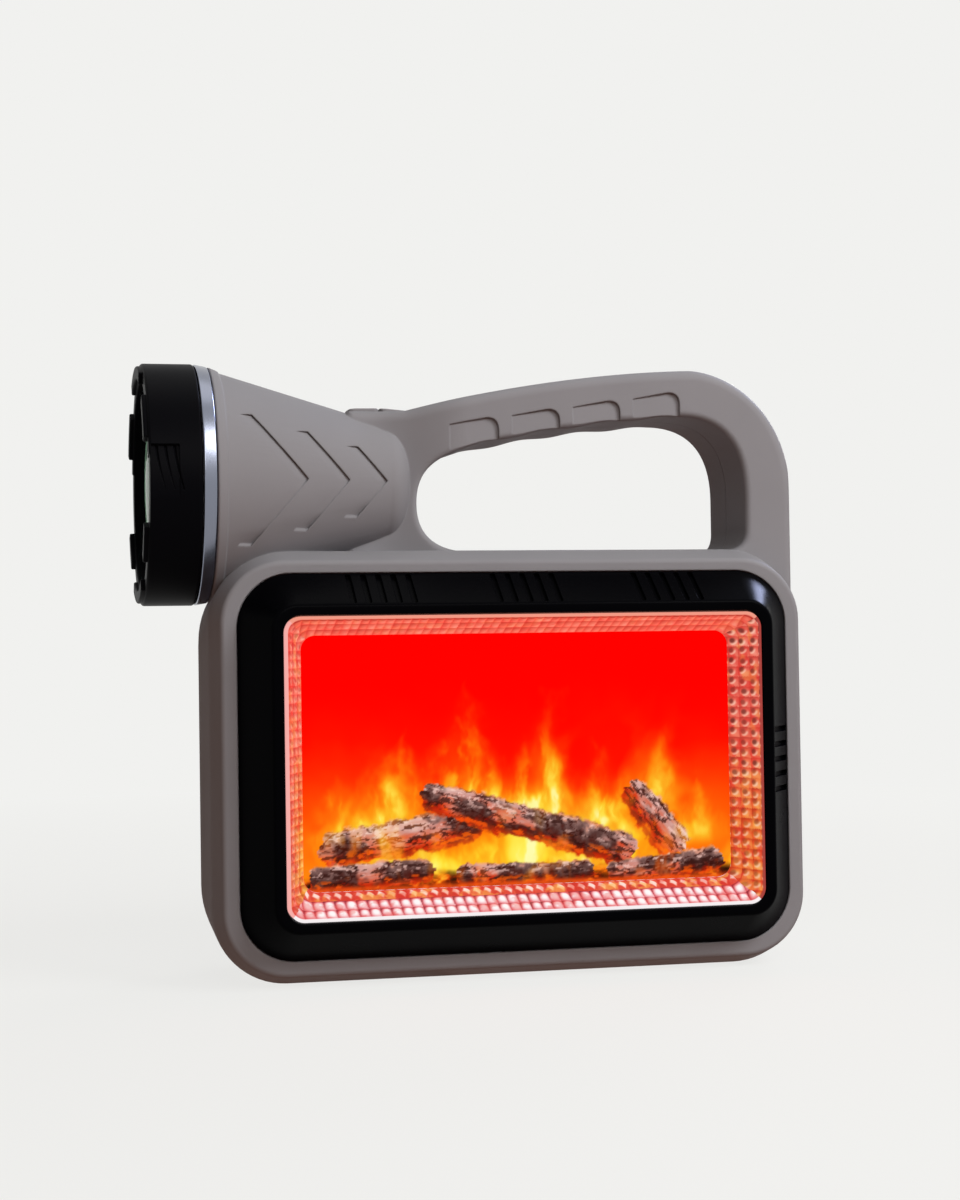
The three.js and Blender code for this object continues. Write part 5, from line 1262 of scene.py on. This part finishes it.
def tray_painted_light(side, row, along, b, t, z):
    """Painted light for moulded beads: tones that show the fire behind them in pieces, with painted shade
    and highlights on each dome, and the beads' domes.
    """
    pitch = BEAD_PITCHES[side]
    cell = np.floor(along / pitch).astype(int)
    a = along / pitch - cell - 0.5
    luck = np.random.default_rng(5).random((1024, 3))[(cell * 7 + row * 131 + side * 257) % 1024].T
    dome = np.clip(1 - (2.1 * a) ** 2, 0, 1) * np.clip(1 - (2.1 * b) ** 2, 0, 1)
    light = BEAD_LIGHTS[side]
    # The bead's level runs from painted shade to painted highlight, by its dome and a set light direction.
    # The bottom side's plain row gets pale painted triangles.
    level = 0.24 + BEAD_GAINS[side] * dome + light[:, 0] * a + light[:, 1] * b
    level += BEAD_LUCKS[side] * (luck[0] - 0.5)
    plain = (side == 3) & (row == 2)
    triangle = smoothstep(0.0, 0.2, 0.42 - 0.8 * np.abs(b) - 0.9 * np.abs(a + 0.4 * b))
    level = np.where(plain, 0.1 + 0.3 * luck[1] + 0.75 * triangle, level)
    # The painted glow turns warmer low down, fully on the right side and by row on the left.
    warmth = smoothstep(82, 40, z) * np.where(side == 2, LEFT_WARMTHS[row], side == 0)
    warmth = np.where(plain, 1.0, warmth)
    place = np.clip(level, 0, 1) * 3
    step = np.minimum(place.astype(int), 2)
    cold, warm = (blend(t[side, step], t[side, step + 1], place - step) for t in (BEAD_TONES, WARM_TONES))
    deep = np.full(len(along), t)
    # Patches of painted red and gold glow: the fire seen through the beads in pieces.
    red = smoothstep(0.5, 0.66, clouds(along + 300 * side, deep, 3.2, 900))
    gold = smoothstep(0.52, 0.68, clouds(along + 300 * side, deep, 3.8, 910))
    # A painted dark spot in each bead, with a painted highlight arc on one side of it.
    spot_a, spot_b = a - 0.1 + 0.26 * (luck[1] - 0.5), b - 0.08 + 0.26 * (luck[2] - 0.5)
    reach = np.hypot(spot_a, spot_b)
    away = -(0.8 * spot_a + 0.6 * spot_b) / (reach + 0.01)
    arc = smoothstep(0.14, 0.04, np.abs(reach - 0.36)) * smoothstep(0.2, 0.9, away)
    spot_shade = smoothstep(0.38, 0.12, reach) * SPOT_SHADE_AND_ARC_SHARES[side] * (0.55 + 0.45 * luck[0])
    past_rim = t - RIM_BANDS[side]
    return layered(blend(cold, warm, warmth), [
        ((226, 50, 44), red * RED_SHARES[side]),
        ((255, 186, 88), gold * np.where(plain, 0.6, GOLD_SHARES[side])),
        ((255, 216, 192), arc * SPOT_SHADE_AND_ARC_SHARES[side] * 0.75),
        ((96, 44, 38), spot_shade * (1 - 0.45 * warmth)),
        # A painted dark red line under the top rim band, then the rim's painted tones.
        ((168, 36, 26), smoothstep(0.45, 0.1, np.abs(past_rim - 0.35)) * (side == 1) * 0.6),
        (RIM_TONES[side], smoothstep(0.2, -0.3, past_rim)),
    ]), dome


def build_tray():
    run = CREST_Y - PICTURE_Y
    depth = math.hypot(run, TRAY_RIM[0] - TRAY_BACK[0])
    slope = (TRAY_RIM[0] - TRAY_BACK[0]) / depth
    inward = np.array([(-1, 0), (0, -1), (1, 0), (0, 1)])
    rings, colours = [], []
    for share in np.linspace(0, 1, BEAD_RINGS):
        flat, side = tray_ring(between(TRAY_RIM, TRAY_BACK, share), TRAY_RIM_INSET * (1 - share))
        x, z = flat.T
        t = share * depth
        row, b = -1, 0.0
        for k, (start, end) in enumerate(BEAD_ROWS):
            if start <= t < end:
                row, b = k, (t - start) / (end - start) - 0.5
        row, b = np.full(len(x), row), np.full(len(x), b)
        tints, dome = tray_painted_light(side, row, np.where(side % 2, x, z), b, t, z)
        lift = BEAD_HEIGHT * (row >= 0) * dome
        shifted = flat + inward[side] * (lift * run / depth)[:, None]
        rings.append(ring(shifted, -CREST_Y + run * share - lift * slope * (share > 0.02)))
        colours.append(tints)
    for size, inset, y in [
        (TRAY_BACK, -0.05, -PICTURE_Y + 0.02), (TRAY_BACK, -TRAY_WALL, -PICTURE_Y + TRAY_WALL),
        (TRAY_RIM, 0, -CREST_Y + 4), (TRAY_RIM, 0, -CREST_Y + 0.02),
    ]:
        flat, side = tray_ring(size, inset)
        rings.append(ring(flat, y))
        # These rings take the rim's painted tones.
        colours.append(RIM_TONES[side])
    faces = turned_over(grid_faces(len(rings), len(rings[0]), True))
    tray = rough("tray", np.concatenate(rings), faces)
    paint(tray.data, np.concatenate(colours))
    smooth(tray, 60)
    finish(tray, "tray_painted_glow", "housing", "window", "flame_window")


# Solar panel, keys and screws
def build_solar():
    outline = rounded_rect(SOLAR_PLACE, GAP)
    panel = soften(slab("panel", outline, SOLAR_REAR_Y - SOLAR_THICK, SOLAR_REAR_Y), 0.4)
    finish(shade(panel), "solar_glass", "housing", "solar", "solar_panel")


def key_crown(outline, drop=0.0):
    """The outline laid on the keys' common top, or a drop under it."""
    x, y = outline.T
    share = (x - KEY_FROM_X) / (KEY_TO_X - KEY_FROM_X)
    nose = np.maximum(1 - share / KEY_NOSE[0], 0)
    tail = np.maximum(1 - (1 - share) / KEY_TAIL[0], 0)
    top = SADDLE[1] + KEY_CREST - KEY_NOSE[1] * nose**2 - KEY_TAIL[1] * tail**2
    return np.column_stack([outline, top - KEY_BOW * (y / KEY_HALF) ** 2 - drop])


def build_key(index, name, body):
    middle = KEY_FROM_X + KEY_LENGTH / 2 + index * (KEY_LENGTH + KEY_BETWEEN)

    def outline(inset=0.0, out=0.0):
        size = (KEY_LENGTH / 2, -KEY_HALF - out, KEY_HALF + out, KEY_CORNER)
        return rounded_rect(size, inset, middle, steps=8)

    rings = []
    for drop, out in [(KEY_FLANGE[1], KEY_FLANGE[0]), (0, KEY_FLANGE[0]), (0, 0)]:
        flat = outline(out=out)
        rings.append(np.column_stack([flat, np.full(len(flat), KEY_FLANGE_TOP - drop)]))
    rings += [key_crown(outline(KEY_EDGE * aside), KEY_EDGE * down) for aside, down in quarter(5)]
    for share in (0.75, 0.5, 0.25, 0.02):
        rings.append(key_crown((outline(KEY_EDGE) - [middle, 0]) * share + [middle, 0]))
    key = loft(name, rings)
    radius, height = KEY_STEM
    join(key, rod("stem", "z", radius, KEY_FLANGE_TOP - height, KEY_FLANGE_TOP, middle, 0, 24))
    finish(shade(key, 40), "soft_rubber", body, "soft_grey", name)


def build_screws():
    seat = PARTING_Y + SCREW_SEAT + GAP
    for i, (x, z) in enumerate(HOUSING_SCREWS):
        screw = soften(rod("head", "y", SCREW_HEAD[0], seat, seat + SCREW_HEAD[1], x, z, 32), 0.5)
        join(screw, rod("shank", "y", SCREW_SHANK[0], seat - SCREW_SHANK[1], seat + 0.5, x, z, 24))
        for wide, tall in (CROSS, CROSS[::-1]):
            cut(screw, block("cross", x - wide, x + wide, seat + 1.0, seat + 2.5, z - tall, z + tall))
        screw.name = f"screw_{i + 1}"
        finish(shade(screw), "steel", "housing", "steel", f"housing_screw_{i + 1}")


# Carried-over parts
CARRIED = {
    "seal_rubber": ["lens_gasket", "window_gasket"],
    "star_resin": ["torch_led_board"],
    "led_resin": ["torch_led", *[f"flame_led_{i}" for i in range(1, 7)]],
    "alloy": ["heat_sink"],
    "white_plastic": ["flame_diffuser", "light_box"],
    "board_resin": ["flame_led_board", "switch_board", "main_board"],
    "black_plastic": ["torch_switch", "flame_switch", "battery_holder"],
    "cell_wrap": ["battery_1", "battery_2"],
    "steel": ["usb_a_port", "usb_c_port", "port_cover_pin"],
    "clear_pipe": ["charge_indicator"],
    "soft_rubber": ["port_cover"],
    "lead_sleeve": ["solar_lead"],
}


def dress_carried():
    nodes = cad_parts
    for material, names in CARRIED.items():
        for name in names:
            dress(nodes[name], material)
    for name in nodes:
        if "screw" in name and not name.startswith("housing"):
            dress(nodes[name], "steel")


# Stage: floor, lamps, world and camera
PALE = srgb(241, 241, 239)
FLOOR_REACH = 60000.0
FLOOR_GREY = 0.12  # how much of the lamps' light the floor sends back near the lamp
FLOOR_NEAR = 0.2
FLOOR_FAR = 0.9
FLOOR_BOUNCE = 0.2  # warm light that the floor sends up
BOUNCE_COLOUR = (1.0, 0.42, 0.25, 1)
FILL_COLOUR = (1.0, 0.8, 0.66, 1)
FILL_STRENGTH = 0.09
MIDDLE = (0.0, 0.0, 0.1)
# Each lamp: name, place, target, size, watts and colour.
LAMPS = [
    ("key", (0.5, -0.6, 0.7), MIDDLE, 0.5, 6.4, (1, 1, 1)),
    ("top", (0.0, 0.1, 1.0), MIDDLE, 0.6, 0.8, (1.0, 0.98, 0.95)),
    ("fill", (0.0, -1.1, 0.7), MIDDLE, 0.6, 4.5, (1.0, 0.97, 0.94)),
    ("glint", (0.787, 0.48, 0.777), (0.0755, -0.0375, 0.1195), 0.3, 15.0, (0.6, 0.67, 1.0)),
    ("back", (0.75, 0.95, 0.45), MIDDLE, 0.6, 7.0, (1.0, 0.97, 0.95)),
]


def seen_ray(tree):
    """1 for what the camera, a reflection or a view through glass sees."""
    rays = linked(tree, "ShaderNodeLightPath").outputs
    first = maths(tree, "MAXIMUM", rays["Is Camera Ray"], rays["Is Glossy Ray"])
    return maths(tree, "MAXIMUM", first, rays["Is Transmission Ray"])


def bare_tree(owner):
    owner.use_nodes = True
    owner.node_tree.nodes.clear()
    return owner.node_tree


def shaded(tree, kind, values):
    return linked(tree, kind, values).outputs[0]


def build_floor():
    corners = [(x * FLOOR_REACH, y * FLOOR_REACH, 0) for x, y in ((-1, -1), (1, -1), (1, 1), (-1, 1))]
    floor = rough("floor", corners, [(0, 1, 2, 3)])
    material = bpy.data.materials.new("floor_paper")
    tree = bare_tree(material)
    place = object_place(tree)
    length = linked(tree, "ShaderNodeVectorMath", {0: place}, operation="LENGTH").outputs["Value"]
    fade = shaded(tree, "ShaderNodeMapRange", {
        "Value": length, "From Min": FLOOR_NEAR, "From Max": FLOOR_FAR, "To Min": FLOOR_GREY, "To Max": 0.0})
    diffuse = shaded(tree, "ShaderNodeBsdfDiffuse", {"Color": mixed(tree, fade, (0, 0, 0, 1), PALE)})
    seen = maths(tree, "MULTIPLY", seen_ray(tree), maths(tree, "SUBTRACT", 1.0, fade))
    unseen = maths(tree, "MULTIPLY", maths(tree, "SUBTRACT", 1.0, seen_ray(tree)), FLOOR_BOUNCE)
    glow = shaded(tree, "ShaderNodeEmission", {"Color": PALE, "Strength": seen})
    bounce = shaded(tree, "ShaderNodeEmission", {"Color": BOUNCE_COLOUR, "Strength": unseen})
    both = shaded(tree, "ShaderNodeAddShader", {0: glow, 1: bounce})
    total = shaded(tree, "ShaderNodeAddShader", {0: diffuse, 1: both})
    linked(tree, "ShaderNodeOutputMaterial", {"Surface": total})
    floor.data.materials.append(material)


def build_world():
    world = bpy.data.worlds.new("studio")
    tree = bare_tree(world)
    seen = shaded(tree, "ShaderNodeBackground", {"Color": PALE, "Strength": 1.0})
    fill = shaded(tree, "ShaderNodeBackground", {"Color": FILL_COLOUR, "Strength": FILL_STRENGTH})
    mix = shaded(tree, "ShaderNodeMixShader", {0: seen_ray(tree), 1: fill, 2: seen})
    linked(tree, "ShaderNodeOutputWorld", {"Surface": mix})
    bpy.context.scene.world = world


def build_lamps():
    for name, place, target, size, power, colour in LAMPS:
        data = bpy.data.lights.new(name, "AREA")
        data.shape = "DISK"
        data.size = size
        data.energy = power
        data.color = colour
        made = add(name, data)
        made.location = place
        made.rotation_euler = (Vector(target) - Vector(place)).to_track_quat("-Z", "Y").to_euler()
        made.visible_diffuse = name != "glint"


def build_camera():
    data = bpy.data.cameras.new("camera")
    data.lens = LENS
    camera = add("camera", data)
    camera.matrix_world = Matrix.Translation(EYE) @ Matrix(CAMERA_AXES).transposed().to_4x4()
    bpy.context.scene.camera = camera
    bpy.context.scene.view_settings.view_transform = "Standard"


build_floor()
build_world()
build_lamps()
build_camera()
build_shells()
build_crown()
build_trim()
build_lens()
build_reflector()
build_bezel()
build_tray()
build_film()
build_solar()
build_key(0, "torch_key", "torch_key")
build_key(1, "flame_key", "flame_key")
build_screws()
dress_carried()
